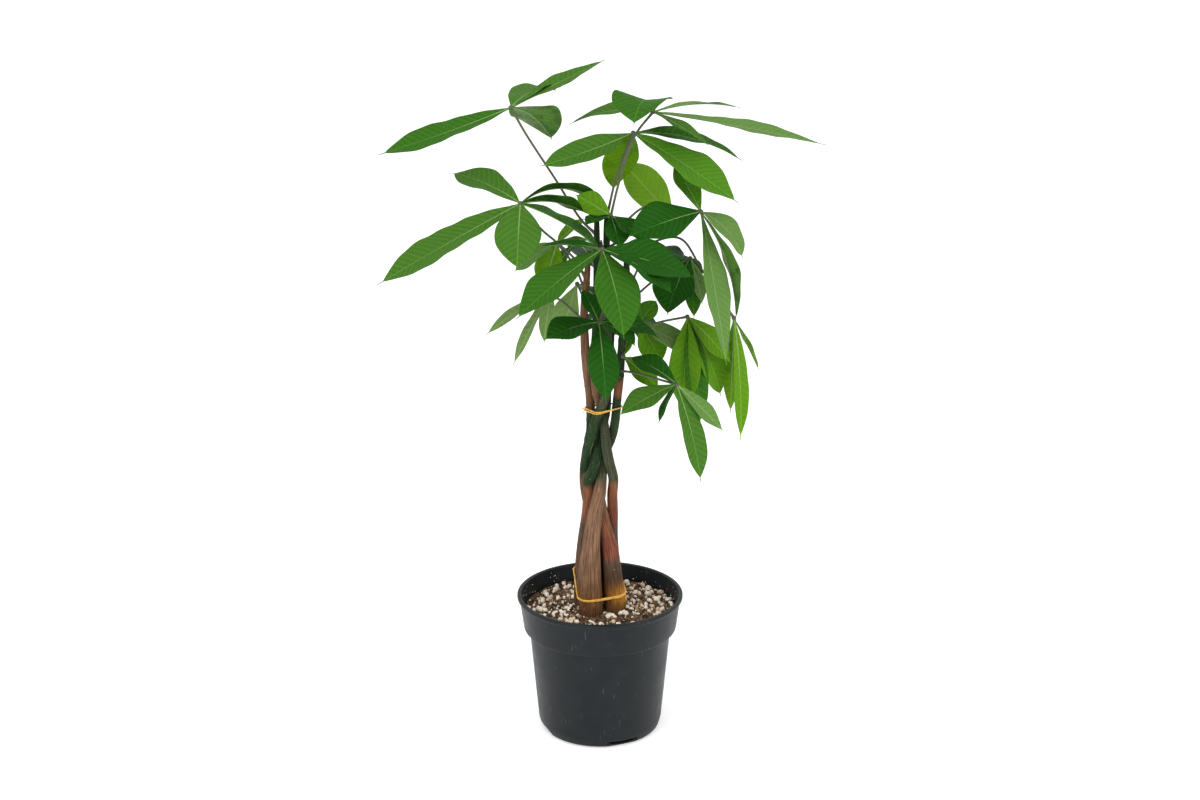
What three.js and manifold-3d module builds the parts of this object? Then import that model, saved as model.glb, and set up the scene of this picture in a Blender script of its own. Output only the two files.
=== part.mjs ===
// A potted money tree: five young trunks plaited together, tied at two heights,
// standing in a plastic nursery pot of soil, with a crown of hand-shaped leaves.
// Millimetres, +Z up. The origin is the centre of the pot's underside.

import * as THREE from 'three';
import { mergeVertices } from 'three/addons/utils/BufferGeometryUtils.js';
import Module from 'manifold-3d';

const wasm = await Module();
wasm.setup();

// ---------------------------------------------------------------- driving dimensions

const GAP = 0.3; // clearance between pieces that touch

const POT_HEIGHT = 141;
const POT_LIP_RADIUS = 82.5;
const POT_COLLAR_RADIUS = 80; // just under the lip
const POT_COLLAR_FOOT_RADIUS = 76.5;
const POT_COLLAR_FOOT = 109; // height of the collar's lower edge
const POT_BODY_RADIUS = 70.6; // just under the collar
const POT_BASE_RADIUS = 62; // where the bottom rounding starts
const POT_FOOT_RADIUS = 54;
const POT_ROUNDING = 9;
const POT_WALL = 1.8;
const POT_FLOOR = 2.4;
const POT_SIDES = 44;
const DRAIN_COUNT = 4;
const DRAIN_WIDTH = 32;
const DRAIN_HEIGHT = 4.6;
const DRAIN_FIRST = -68; // degrees from +X

const SOIL_TOP = 123.5;
const SOIL_SWELL = 2.5; // the soil heaps up a little round the trunks
const SOIL_SWELL_RADIUS = 34;
const GRAIN_COUNT = 22; // coarse grains of perlite and bark on the soil
const GRAIN_SEED = 11;
const GRAIN_SMALLEST = 1.8;
const GRAIN_SPREAD = 2.2; // how much larger the largest is
const GRAIN_INNERMOST = 20; // how far from the middle the grains start
const GOLDEN_ANGLE = Math.PI * (3 - Math.sqrt(5)); // turning by it from grain to grain lays them evenly

const TRUNK_SIDES = 8;
const TRUNK_STEPS = 25;
const STALK_SIDES = 5;
const STALK_STEPS = 5;
const STALK_RADIUS = 1.2;
const STALK_FOOT_RADIUS = 2.1; // swollen where it leaves the stem
const KNOB_RADIUS = 2.6; // where the leaflets meet
const BLADE_THICKNESS = 0.7;
const BLADE_STEPS = 5;
const BLADE_BASE_HALF_WIDTH = 1.3;
const BLADE_TIP_HALF_WIDTH = 0.7;
const BLADE_TAIL_START = 0.955; // where the thin tail of the tip starts, as a share of the length
const BLADE_FOLD = 0.2; // how far the edges stand above the midrib, by half width
const BLADE_WAVE = 0.1; // ripple of the edges, by half width

// The five trunks from root to tip: [x, y, z, radius].
const TRUNKS = [
  [ // the thick one in front on the left, which ends on the right
    [-7, -12, 62, 9], [-9, -14, 120, 12], [-10, -14, 168, 11.2], [-8.6, -12.8, 198, 8.6],
    [-4.8, -12, 228, 7], [-0.3, -10.4, 250, 6.3], [1.6, -4.6, 265, 5.2], [2.2, 0.8, 279, 5],
    [7.4, 4.4, 292, 4.8], [12.4, 2.6, 306, 4.6], [15, 0, 322, 4.4], [16.2, 0, 338, 4.2],
    [18.5, -1, 362, 4.2], [20.5, -2, 390, 3.9], [23, 0, 425, 3.6], [25, 4, 465, 3], [24, 8, 492, 2],
  ],
  [ // the thick one in front on the right, which ends on the left
    [14, -6, 62, 9], [15, -7, 125, 11], [12.8, -7, 160, 9.6], [9.5, -5.5, 190, 8], [3.8, 0, 215, 6.4],
    [-0.2, 5.6, 237, 5.6], [-3, 9.8, 255, 5.1], [-6, 12.2, 270, 4.9], [-9.5, 11, 284, 4.7],
    [-11, 8, 296, 4.6], [-9.1, 5.3, 308, 4.5], [-8.9, 4.4, 325, 4.4], [-9.9, 6.2, 346, 4.3],
    [-12.5, 4, 368, 4.3], [-14.5, 1, 398, 4.1], [-15, 0, 430, 3.7], [-12, 0, 465, 3], [-11, 2, 486, 2],
  ],
  [ // behind in the middle, which goes left and comes to the front below the upper tie
    [0, 20, 62, 7], [0, 21, 125, 7.8], [-2, 21.3, 165, 7.2], [-3, 19, 196, 6.6], [-9, 15.4, 222, 6.1],
    [-14.2, 10, 250, 5.6], [-14.6, 4.7, 268, 5.2], [-13.5, -1.3, 283, 4.9], [-11.9, -6, 295, 4.9],
    [-8.2, -8.4, 307, 4.9], [-5.4, -8.6, 320, 4.8], [-0.6, -8.6, 332, 4.6], [5, -7.4, 346, 4.5],
    [7.5, -7, 375, 4.3], [7, -7.4, 410, 3.9], [5, -9, 445, 3.5], [2, -9, 480, 2.6], [1, -8, 498, 1.8],
  ],
  [ // behind on the left, which shows in front for a hand's breadth
    [-15, 9, 62, 9], [-16, 9.5, 125, 10.6], [-15.2, 9, 165, 9.8], [-14.2, 6.8, 196, 7.8],
    [-12, 1.8, 224, 6.1], [-11.2, -1.6, 249, 5.4], [-11.6, -5.4, 259, 5.2], [-8.6, -9.2, 268, 5.3],
    [-4.4, -8.8, 280, 4.9], [-2.2, -3.2, 291, 4.7], [-0.4, 3.2, 302, 4.8], [3.2, 7.8, 314, 4.6],
    [6.4, 10.4, 331, 4.3], [6.8, 7, 346, 4.3], [8.5, 6, 375, 4.1], [10, 8, 410, 3.9], [9, 11, 450, 3.5],
    [6, 12, 495, 3], [6, 13, 522, 2],
  ],
  [ // behind on the right, which crosses to the middle
    [15.5, 14, 62, 8], [15.8, 14.6, 125, 8.6], [12.6, 14.2, 165, 7.5], [11.4, 13.2, 195, 6.5],
    [12.4, 11, 222, 5.4], [12.1, 2, 245, 5.2], [12.9, -4.8, 263, 4.9], [8.8, -8.6, 281, 5],
    [6, -8.2, 297, 4.8], [4.4, -4.2, 313, 4.4], [2, 2, 328, 4.2], [-3, 0.6, 346, 4.1], [-5.5, -3, 375, 4.1],
    [-4, -3, 410, 3.9], [-3, 2, 450, 3.6], [-3, 5, 495, 3], [-3, 6, 530, 1.8],
  ],
];

// The ties are thin bands wound once round the bundle: the height of each, how steeply it climbs
// from left to right, and how far it rises on the left side behind the front trunk.
const TIE_RADIUS = 0.8;
const TIE_SIDES = 6;
const TIE_STEPS = 28;
const TIE_CLEAR = 0.6; // the trunks lean, so this leaves GAP at their tightest
const TIE_UPPER = { z: 331.3, climb: 0.12, rise: 0 };
const TIE_LOWER = { z: 142.7, climb: 0.03, rise: 20 };
const TIE_RISE_START = -14; // the y at which a tie starts to rise
const TIE_RISE_REACH = 20; // how far behind that it is at its full height
const TIE_RISE_SIDE = 24; // how far left of the middle

// A leaf hangs from trunk number `trunk` at height `at`. Its stalk bends through `via` to its hub,
// where the leaflets meet.
// Leaflets are [heading, pitch, length, droop, width, roll]: the heading is counted from +X
// anticlockwise seen from above, droop is the bend of the midrib, and all angles are in degrees.
const LEAVES = [
  { // 1: top left
    trunk: 4, at: 500, via: [[-19, 28, 512], [-41, 25, 548], [-70, 16, 595]], hub: [-82, 10, 618],
    leaflets: [[-172, -18.6, 129, -7, 34, -26], [35, 20, 113, 2, 24, 8], [64, 5, 90, 36, 46, -4],
      [57, -29, 76, 46, 50, -8]],
  },
  { // 2: top right
    trunk: 3, at: 498, via: [[18, 10, 550], [31.5, 14, 590]], hub: [50, 40, 611],
    leaflets: [[164, -10, 84, 36, 30, -12], [-106, -4, 72, 98, 56], [30, -1, 100, 26, 16],
      [-4, -10.4, 166, 5, 27, 12], [-40, -22, 70, 10, 19]],
  },
  { // 3: top centre
    trunk: 3, at: 514, via: [[16, 20, 555]], hub: [31, 25, 593],
    leaflets: [[-161, -16.5, 95, -12, 32, -34], [110, -49, 82, 14, 35], [-17, -31, 119, 10, 47, 20],
      [24, -15.5, 121, 34, 31, 20]],
  },
  { // 4: left
    trunk: 1, at: 458, via: [[-24, 2, 478], [-41, -2, 495], [-54, -6, 507]], hub: [-73, -20, 534],
    leaflets: [[143, 14, 86, 24, 38, -14], [-166, -27.4, 151, 4, 43, -22], [-92, -49, 70, 28, 43],
      [-15, -28, 88, 26, 44, -26], [28, -3.5, 85, 72, 30, -22], [10, -10, 62, 46, 34, -24]],
  },
  { // 5: right
    trunk: 3, at: 492, via: [[22, 14, 509], [42, 15, 525], [69, 6, 527]], hub: [94, 0, 523],
    leaflets: [[125, 47, 60, -5, 27], [-157, -14, 77, 18, 44, -34], [-20, -45, 58, 56, 36, 12],
      [-40, -77, 146, 4, 34], [13, -71, 113, 36, 37]],
  },
  { // 6: behind the right one, young
    trunk: 3, at: 486, via: [[40, 44, 500]], hub: [72, 72, 504],
    leaflets: [[166, 46, 76, 5, 38, -58], [100, -20, 60, 30, 28], [180, -34, 50, 20, 28]],
  },
  { // 7: front
    trunk: 2, at: 462, via: [[2, -36, 482]], hub: [2, -60, 499],
    leaflets: [[-152, -32.5, 103, 14, 45, -10], [-65, -58, 86, 34, 43], [-18, -29, 76, 34, 42, 8],
      [4, -18, 88, 16, 50, 26], [172, 2, 55, 20, 26]],
  },
  { // 8: lower front
    trunk: 2, at: 424, via: [[4, -30, 440]], hub: [-1, -45, 428],
    leaflets: [[-146, -8, 60, 25, 35, -18], [-81, -58, 77, 20, 29], [-40, -20, 46, 40, 26],
      [4, -16, 58, 40, 36, 12], [120, 40, 40, 10, 18]],
  },
  { // 9: lower right, hanging
    trunk: 0, at: 402, via: [[52, 8, 414]], hub: [84, 20, 418],
    leaflets: [[-98, -72, 92, 14, 31], [-64, -74, 105, 14, 25], [6, -67, 88, 24, 36, 50],
      [-10, -46, 62, 20, 27, 34]],
  },
  { // 10: lowest, on the right
    trunk: 0, at: 370, via: [[36, -38, 377]], hub: [71, -50, 370],
    leaflets: [[-151, -19, 65, 18, 28, -16], [-50, -68, 93, 20, 28], [-4, -45, 63, 8, 18, 40],
      [-166, -65, 40, 12, 17], [150, 22, 54, 26, 30, -10]],
  },
  { // 11: far right, hanging
    trunk: 0, at: 470, via: [[48, 26, 488], [76, 27, 493], [98, 25, 462]], hub: [129, 24, 416],
    leaflets: [[45, -56, 73, 3, 14, 20], [-56, -83, 121, 16, 19], [90, -83, 101, 6, 18]],
  },
  { // 12: young one at the left
    trunk: 1, at: 446, via: [[-24, 16, 468]], hub: [-41, 30, 488],
    leaflets: [[180, -34, 50, 20, 27, -28], [142, -70, 52, 16, 28, 40], [38, 32, 38, 10, 20],
      [20, 0, 34, 20, 18]],
  },
  { // 13: lower left, narrow
    trunk: 1, at: 418, via: [[-34, 12, 433], [-49, 32, 439]], hub: [-47, 52, 438],
    leaflets: [[180, -35, 80, 10, 18, -24], [180, -63, 86, 8, 17, -30], [-110, -66, 54, 10, 16]],
  },
  { // 14: small one low on the right
    trunk: 0, at: 390, via: [[22, -5, 388]], hub: [22, -8, 386],
    leaflets: [[75, 36, 26, 0, 13], [-15, -40, 46, 14, 26, 30]],
  },
  { // 15: crown centre
    trunk: 4, at: 515, via: [[4, 4, 517]], hub: [10, 2, 519],
    leaflets: [[-28, -32, 42, 20, 27, 10], [-134, -8, 34, 24, 21], [-170, -7, 26, 20, 18],
      [-70, -46, 36, 20, 26], [174, 30, 38, 10, 24, -54]],
  },
  { // 16: back right
    trunk: 0, at: 440, via: [[48, 60, 478]], hub: [62, 92, 472],
    leaflets: [[150, -10, 60, 30, 34], [85, -30, 90, 40, 40], [50, -40, 78, 30, 36], [-60, -55, 48, 30, 32]],
  },
  { // 17: back left
    trunk: 2, at: 455, via: [[-16, 60, 480]], hub: [-24, 90, 476],
    leaflets: [[-150, -50, 54, 30, 28], [130, -25, 90, 40, 38], [75, -30, 80, 40, 40],
      [10, -35, 60, 30, 34]],
  },
  { // 18: low at the back
    trunk: 3, at: 420, via: [[14, 50, 430]], hub: [16, 76, 418],
    leaflets: [[150, -40, 60, 30, 30], [95, -40, 84, 40, 38], [40, -40, 74, 40, 36], [-20, -55, 56, 20, 30]],
  },
  { // 19: right of the stems, in the shade of the others
    trunk: 0, at: 432, via: [[52, 28, 452]], hub: [87, 40, 471],
    leaflets: [[-74, -76, 58, 12, 18], [-48, -68, 46, 14, 18], [-132, -56, 61, 24, 47]],
  },
  { // 20: pale one low on the left
    trunk: 1, at: 436, via: [[-18, 18, 442]], hub: [-22, 30, 448],
    leaflets: [[-138, -70, 56, 14, 34], [62, -29, 46, 20, 26]],
  },
  { // 21: small one between the stems and the lower right
    trunk: 3, at: 404, via: [[26, 18, 409]], hub: [38, 24, 411],
    leaflets: [[-6, -28, 58, 14, 28, 36], [-8, -60, 45, 14, 31, 60], [30, 46, 28, 10, 22, 30]],
  },
];

// ---------------------------------------------------------------- solids

const radians = THREE.MathUtils.degToRad;

// A solid for joining and cutting, from a closed geometry.
function solid(geometry) {
  const bare = geometry.index ? geometry.toNonIndexed() : geometry.clone();
  bare.deleteAttribute('normal');
  bare.deleteAttribute('uv');
  const merged = mergeVertices(bare, 1e-4);
  return new wasm.Manifold(new wasm.Mesh({
    numProp: 3,
    vertProperties: merged.attributes.position.array,
    triVerts: merged.index.array,
  }));
}

// The geometry of a solid, with flat faces. Loose scraps left by a cut are dropped.
function geometryOf(body) {
  const pieces = body.decompose().sort((a, b) => b.volume() - a.volume());
  const mesh = pieces[0].getMesh();
  const geometry = new THREE.BufferGeometry();
  geometry.setAttribute('position', new THREE.BufferAttribute(new Float32Array(mesh.vertProperties), 3));
  geometry.setIndex(new THREE.BufferAttribute(new Uint32Array(mesh.triVerts), 1));
  return geometry;
}

function indexed(positions, triangles) {
  const geometry = new THREE.BufferGeometry();
  geometry.setAttribute('position', new THREE.Float32BufferAttribute(positions, 3));
  geometry.setIndex(triangles);
  return geometry;
}

// A closed tube of round section through points [x, y, z, radius], fattened by `extra`.
function tube(points, sides, steps, extra = 0) {
  const curve = new THREE.CatmullRomCurve3(points.map(([x, y, z]) => new THREE.Vector3(x, y, z)));
  const { normals, binormals } = curve.computeFrenetFrames(steps, false);
  const positions = [];
  const triangles = [];
  for (let i = 0; i <= steps; i++) {
    const place = curve.getUtoTmapping(i / steps) * (points.length - 1);
    const k = Math.min(Math.floor(place), points.length - 2);
    const radius = THREE.MathUtils.lerp(points[k][3], points[k + 1][3], place - k) + extra;
    const centre = curve.getPointAt(i / steps);
    for (let j = 0; j < sides; j++) {
      const angle = (2 * Math.PI * j) / sides;
      positions.push(...centre.clone()
        .addScaledVector(normals[i], radius * Math.cos(angle))
        .addScaledVector(binormals[i], radius * Math.sin(angle)).toArray());
      if (i < steps) {
        const a = i * sides + j;
        const b = i * sides + ((j + 1) % sides);
        triangles.push(a, b, b + sides, a, b + sides, a + sides);
      }
    }
  }
  for (let j = 1; j < sides - 1; j++) {
    const last = steps * sides;
    triangles.push(0, j + 1, j, last, last + j, last + j + 1);
  }
  return indexed(positions, triangles);
}

// A round tube along a curve that closes on itself.
function ring(curve, radius, sides, steps) {
  const { normals, binormals } = curve.computeFrenetFrames(steps, true);
  const positions = [];
  const triangles = [];
  const next = (corner) => (corner + sides) % (sides * steps);
  for (let i = 0; i < steps; i++) {
    const centre = curve.getPointAt(i / steps);
    for (let j = 0; j < sides; j++) {
      const angle = (2 * Math.PI * j) / sides;
      positions.push(...centre.clone()
        .addScaledVector(normals[i], radius * Math.cos(angle))
        .addScaledVector(binormals[i], radius * Math.sin(angle)).toArray());
      const a = i * sides + j;
      const b = i * sides + ((j + 1) % sides);
      triangles.push(a, b, next(b), a, next(b), next(a));
    }
  }
  return indexed(positions, triangles);
}

// The middle of a trunk and its radius, [x, y, radius], at a height.
function trunkAt(points, z) {
  const k = points.findIndex((point, i) => i < points.length - 1 && points[i + 1][2] >= z);
  const share = (z - points[k][2]) / (points[k + 1][2] - points[k][2]);
  return [0, 1, 3].map((n) => THREE.MathUtils.lerp(points[k][n], points[k + 1][n], share));
}

// ---------------------------------------------------------------- pot

function potGeometry() {
  const outer = new THREE.Path();
  outer.moveTo(0, 0);
  outer.lineTo(POT_FOOT_RADIUS, 0);
  outer.quadraticCurveTo(POT_BASE_RADIUS - 1, 0, POT_BASE_RADIUS, POT_ROUNDING);
  outer.lineTo(POT_BODY_RADIUS, POT_COLLAR_FOOT - 7);
  outer.lineTo(POT_COLLAR_FOOT_RADIUS, POT_COLLAR_FOOT);
  outer.lineTo(POT_COLLAR_RADIUS, POT_HEIGHT - 4.5);
  outer.lineTo(POT_LIP_RADIUS - 0.5, POT_HEIGHT - 4);
  outer.lineTo(POT_LIP_RADIUS, POT_HEIGHT - 1.2);
  outer.lineTo(POT_LIP_RADIUS - 1, POT_HEIGHT);
  outer.lineTo(POT_COLLAR_RADIUS - POT_WALL + 0.8, POT_HEIGHT);
  outer.lineTo(POT_COLLAR_RADIUS - POT_WALL, POT_HEIGHT - 1.5);
  outer.lineTo(POT_COLLAR_FOOT_RADIUS - POT_WALL, POT_COLLAR_FOOT - 1);
  outer.lineTo(POT_BODY_RADIUS - POT_WALL, POT_COLLAR_FOOT - 8);
  outer.lineTo(POT_BASE_RADIUS - POT_WALL, POT_ROUNDING + 2);
  outer.quadraticCurveTo(POT_BASE_RADIUS - 3, POT_FLOOR, POT_FOOT_RADIUS - 2, POT_FLOOR);
  outer.lineTo(0, POT_FLOOR);
  let pot = solid(new THREE.LatheGeometry(outer.getPoints(2), POT_SIDES).rotateX(Math.PI / 2));
  for (let i = 0; i < DRAIN_COUNT; i++) {
    const slot = new THREE.BoxGeometry(24, DRAIN_WIDTH, 2 * DRAIN_HEIGHT);
    slot.translate(POT_FOOT_RADIUS + 7, 0, 0);
    slot.rotateZ(radians(DRAIN_FIRST + (360 * i) / DRAIN_COUNT));
    pot = pot.subtract(solid(slot));
  }
  return geometryOf(pot);
}

// ---------------------------------------------------------------- soil

// The inside of the pot at a height.
function potInnerRadius(z) {
  const wall = z < POT_COLLAR_FOOT - 1
    ? [POT_BASE_RADIUS, POT_ROUNDING + 2, POT_BODY_RADIUS, POT_COLLAR_FOOT - 8]
    : [POT_COLLAR_FOOT_RADIUS, POT_COLLAR_FOOT - 1, POT_COLLAR_RADIUS, POT_HEIGHT - 1.5];
  return THREE.MathUtils.mapLinear(z, wall[1], wall[3], wall[0], wall[2]) - POT_WALL;
}

function soilHeight(radius) {
  return SOIL_TOP + SOIL_SWELL * Math.exp(-((radius / SOIL_SWELL_RADIUS) ** 2));
}

function soilGeometry(trunkHoles) {
  const clear = GAP + 0.1;
  const edge = potInnerRadius(SOIL_TOP) - clear;
  const profile = [
    [0, POT_FLOOR + GAP], [POT_FOOT_RADIUS - 4, POT_FLOOR + GAP],
    [potInnerRadius(POT_ROUNDING + 2) - 1.5, POT_ROUNDING + 2],
    [potInnerRadius(POT_COLLAR_FOOT - 8) - clear, POT_COLLAR_FOOT - 8],
    [potInnerRadius(POT_COLLAR_FOOT - 1) - clear - 0.3, POT_COLLAR_FOOT - 0.6],
    [edge, SOIL_TOP - 0.5], [edge * 0.7, soilHeight(edge * 0.7)], [edge * 0.35, soilHeight(edge * 0.35)],
    [0, soilHeight(0)],
  ].map(([r, z]) => new THREE.Vector2(r, z));
  let soil = solid(new THREE.LatheGeometry(profile, POT_SIDES).rotateX(Math.PI / 2));
  const draw = seeded(GRAIN_SEED);
  for (let i = 0; i < GRAIN_COUNT; i++) {
    const angle = i * GOLDEN_ANGLE;
    const distance = GRAIN_INNERMOST + (edge - 25) * Math.sqrt((i + 0.5) / GRAIN_COUNT);
    const grain = new THREE.OctahedronGeometry(GRAIN_SMALLEST + GRAIN_SPREAD * draw() ** 2);
    grain.scale(1, 0.6 + 0.4 * draw(), 0.7);
    grain.rotateZ(Math.PI * draw());
    const reach = Math.min(distance, edge - 5);
    grain.translate(reach * Math.cos(angle), reach * Math.sin(angle), soilHeight(reach) + 0.4);
    soil = soil.add(solid(grain));
  }
  return geometryOf(trunkHoles.reduce((rest, hole) => rest.subtract(hole), soil));
}

// A small repeatable source of random numbers from 0 to 1.
function seeded(seed) {
  let state = seed;
  return () => {
    state = (state * 16807) % 2147483647;
    return state / 2147483647;
  };
}

// ---------------------------------------------------------------- ties

// The outline of the bundle on a tie's tilted plane: the hull of the trunks' sections, pushed out.
function bundleOutline(height, clear) {
  const rim = [];
  for (const points of TRUNKS) {
    const level = trunkAt(points, height(0, 0));
    const [x, y, radius] = trunkAt(points, height(level[0], level[1]));
    for (let j = 0; j < 16; j++) {
      const angle = (Math.PI * j) / 8;
      const out = radius + clear;
      rim.push([x + out * Math.cos(angle), y + out * Math.sin(angle)]);
    }
  }
  rim.sort((a, b) => a[0] - b[0] || a[1] - b[1]);
  const half = (list) => {
    const chain = [];
    for (const point of list) {
      while (chain.length > 1) {
        const [a, b] = chain.slice(-2);
        if ((b[0] - a[0]) * (point[1] - a[1]) - (b[1] - a[1]) * (point[0] - a[0]) > 0) break;
        chain.pop();
      }
      chain.push(point);
    }
    return chain.slice(0, -1);
  };
  return [...half(rim), ...half([...rim].reverse())];
}

function tieGeometry({ z, climb, rise }) {
  const height = (x, y) => {
    const behind = THREE.MathUtils.clamp((y - TIE_RISE_START) / TIE_RISE_REACH, 0, 1);
    const left = THREE.MathUtils.clamp(-x / TIE_RISE_SIDE, 0, 1);
    return z + climb * x + rise * behind * left;
  };
  const route = bundleOutline(height, TIE_CLEAR + TIE_RADIUS)
    .map(([x, y]) => new THREE.Vector3(x, y, height(x, y)));
  return ring(new THREE.CatmullRomCurve3(route, true), TIE_RADIUS, TIE_SIDES, TIE_STEPS);
}

// ---------------------------------------------------------------- leaves

// Half the width of a leaflet at a share of its length: widest past the middle, with a drawn-out tip.
function halfWidth(share, width) {
  const body = Math.sin(Math.PI * Math.min(share / BLADE_TAIL_START, 1) ** 1.25) ** 0.82;
  const least = THREE.MathUtils.lerp(BLADE_TIP_HALF_WIDTH, BLADE_BASE_HALF_WIDTH, (1 - share) ** 0.6);
  return Math.max(least, (width / 2) * body);
}

function leafletGeometry(hub, [heading, pitch, length, droop, width, roll = 0]) {
  const h = radians(heading);
  const p = radians(pitch);
  const bend = radians(droop === 0 ? 1 : droop);
  const along = new THREE.Vector3(Math.cos(h) * Math.cos(p), Math.sin(h) * Math.cos(p), Math.sin(p));
  const level = new THREE.Vector3(-Math.sin(h), Math.cos(h), 0);
  const side = level.clone().applyAxisAngle(along, radians(roll));
  const up = along.clone().cross(side);
  const radius = length / (2 * Math.sin(bend / 2));
  const positions = [];
  for (const face of [0.5, -0.5]) {
    for (let i = 0; i <= BLADE_STEPS; i++) {
      const share = i / BLADE_STEPS;
      const turn = bend * (share - 0.5);
      const half = halfWidth(share, width);
      const normal = up.clone().multiplyScalar(Math.cos(turn)).addScaledVector(along, Math.sin(turn));
      const spine = hub.clone()
        .addScaledVector(along, length / 2 + radius * Math.sin(turn))
        .addScaledVector(up, radius * (Math.cos(turn) - Math.cos(bend / 2)));
      for (const across of [-1, 0, 1]) {
        const ripple = across * Math.sin(9 * share + heading) * BLADE_WAVE;
        const lift = half * (BLADE_FOLD * Math.abs(across) + ripple) + face * BLADE_THICKNESS;
        const point = spine.clone().addScaledVector(side, across * half).addScaledVector(normal, lift);
        positions.push(...point.toArray());
      }
    }
  }
  const under = 3 * (BLADE_STEPS + 1);
  const triangles = [];
  const quad = (a, b, c, d) => triangles.push(a, b, c, a, c, d);
  for (let i = 0; i < BLADE_STEPS; i++) {
    const k = 3 * i;
    quad(k, k + 3, k + 4, k + 1);
    quad(k + 1, k + 4, k + 5, k + 2);
    triangles.push(under + k, under + k + 4, under + k + 3, under + k, under + k + 1, under + k + 4);
    triangles.push(under + k + 1, under + k + 5, under + k + 4, under + k + 1, under + k + 2, under + k + 5);
    quad(under + k, under + k + 3, k + 3, k);
    quad(k + 2, k + 5, under + k + 5, under + k + 2);
  }
  const end = 3 * BLADE_STEPS;
  quad(0, 1, under + 1, under);
  quad(1, 2, under + 2, under + 1);
  quad(end + 1, end, under + end, under + end + 1);
  quad(end + 2, end + 1, under + end + 1, under + end + 2);
  return indexed(positions, triangles);
}

function leafGeometry({ trunk, at, via, hub, leaflets }, trunkHoles) {
  const [x, y] = trunkAt(TRUNKS[trunk], at);
  const route = [...via, hub].map((point) => [...point, STALK_RADIUS]);
  const stalk = tube([[x, y, at, STALK_FOOT_RADIUS], ...route], STALK_SIDES, STALK_STEPS);
  const knob = new THREE.OctahedronGeometry(KNOB_RADIUS).translate(...hub);
  const blades = leaflets.map((row) => leafletGeometry(new THREE.Vector3(...hub), row));
  const leaf = [stalk, knob, ...blades].map(solid).reduce((all, part) => all.add(part));
  return geometryOf(trunkHoles.reduce((rest, hole) => rest.subtract(hole), leaf));
}

// ---------------------------------------------------------------- assembly

const plastic = new THREE.MeshStandardMaterial({ color: 0x2b2b2d, roughness: 0.55, metalness: 0 });
const earth = new THREE.MeshStandardMaterial({ color: 0x5a4636, roughness: 0.95, metalness: 0 });
const bark = new THREE.MeshStandardMaterial({ color: 0x7d6654, roughness: 0.8, metalness: 0 });
const raffia = new THREE.MeshStandardMaterial({ color: 0xd9982f, roughness: 0.6, metalness: 0 });
const foliage = new THREE.MeshStandardMaterial({ color: 0x3f8a26, roughness: 0.45, metalness: 0 });

function named(name, geometry, material) {
  const mesh = new THREE.Mesh(geometry, material);
  mesh.name = name;
  return mesh;
}

const trunkHoles = TRUNKS.map((points) => solid(tube(points, TRUNK_SIDES, TRUNK_STEPS, GAP)));

const plant = new THREE.Group();
plant.add(named('pot', potGeometry(), plastic));
plant.add(named('soil', soilGeometry(trunkHoles), earth));
TRUNKS.forEach((points, i) => {
  plant.add(named(`trunk_${i + 1}`, tube(points, TRUNK_SIDES, TRUNK_STEPS), bark));
});
plant.add(named('tie_upper', tieGeometry(TIE_UPPER), raffia));
plant.add(named('tie_lower', tieGeometry(TIE_LOWER), raffia));
LEAVES.forEach((leaf, i) => {
  plant.add(named(`leaf_${String(i + 1).padStart(2, '0')}`, leafGeometry(leaf, trunkHoles), foliage));
});

export default plant;
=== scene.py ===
import math
from collections import namedtuple

import bmesh
import bpy
import numpy as np
from mathutils import Matrix, Vector, noise
from mathutils.geometry import convex_hull_2d


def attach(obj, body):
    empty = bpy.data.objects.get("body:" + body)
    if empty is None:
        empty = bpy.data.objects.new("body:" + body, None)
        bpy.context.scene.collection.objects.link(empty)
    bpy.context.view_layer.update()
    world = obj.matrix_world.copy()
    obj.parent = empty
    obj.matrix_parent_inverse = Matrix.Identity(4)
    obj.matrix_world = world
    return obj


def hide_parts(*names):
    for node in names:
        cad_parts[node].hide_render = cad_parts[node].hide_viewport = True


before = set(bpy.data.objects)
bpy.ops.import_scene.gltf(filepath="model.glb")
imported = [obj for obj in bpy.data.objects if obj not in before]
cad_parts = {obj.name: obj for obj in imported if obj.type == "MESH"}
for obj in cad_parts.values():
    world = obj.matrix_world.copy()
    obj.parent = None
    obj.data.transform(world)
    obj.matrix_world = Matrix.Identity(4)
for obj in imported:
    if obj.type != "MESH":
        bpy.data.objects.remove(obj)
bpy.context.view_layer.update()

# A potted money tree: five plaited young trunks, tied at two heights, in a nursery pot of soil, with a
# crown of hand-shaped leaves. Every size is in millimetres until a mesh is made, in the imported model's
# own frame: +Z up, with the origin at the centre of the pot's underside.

MM = 0.001
BODY = "root"
SEED = 7

# ---- sizes, as in the CAD

POT_HEIGHT = 141
POT_LIP_RADIUS = 82.5
POT_COLLAR_RADIUS = 80
POT_COLLAR_FOOT_RADIUS = 76.5
POT_COLLAR_FOOT = 109
POT_BODY_RADIUS = 70.6
POT_BASE_RADIUS = 62
POT_FOOT_RADIUS = 54
POT_ROUNDING = 9
POT_WALL = 1.8
POT_FLOOR = 2.4
POT_WALL_FOOT = POT_COLLAR_FOOT - 1  # where the collar's inner wall starts
POT_WALL_TOP = POT_HEIGHT - 1.5
DRAIN_COUNT = 4
DRAIN_WIDTH = 32
DRAIN_FIRST = -68  # degrees from +X

SOIL_TOP = 123.5
SOIL_SWELL = 2.5  # the soil heaps up a little round the trunks
SOIL_SWELL_RADIUS = 34

STALK_FOOT_RADIUS = 2.1
BLADE_FOLD = 0.2  # how far the edges stand above the midrib, by half width
BLADE_WAVE = 0.1  # slow ripple of the edges, by half width

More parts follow.
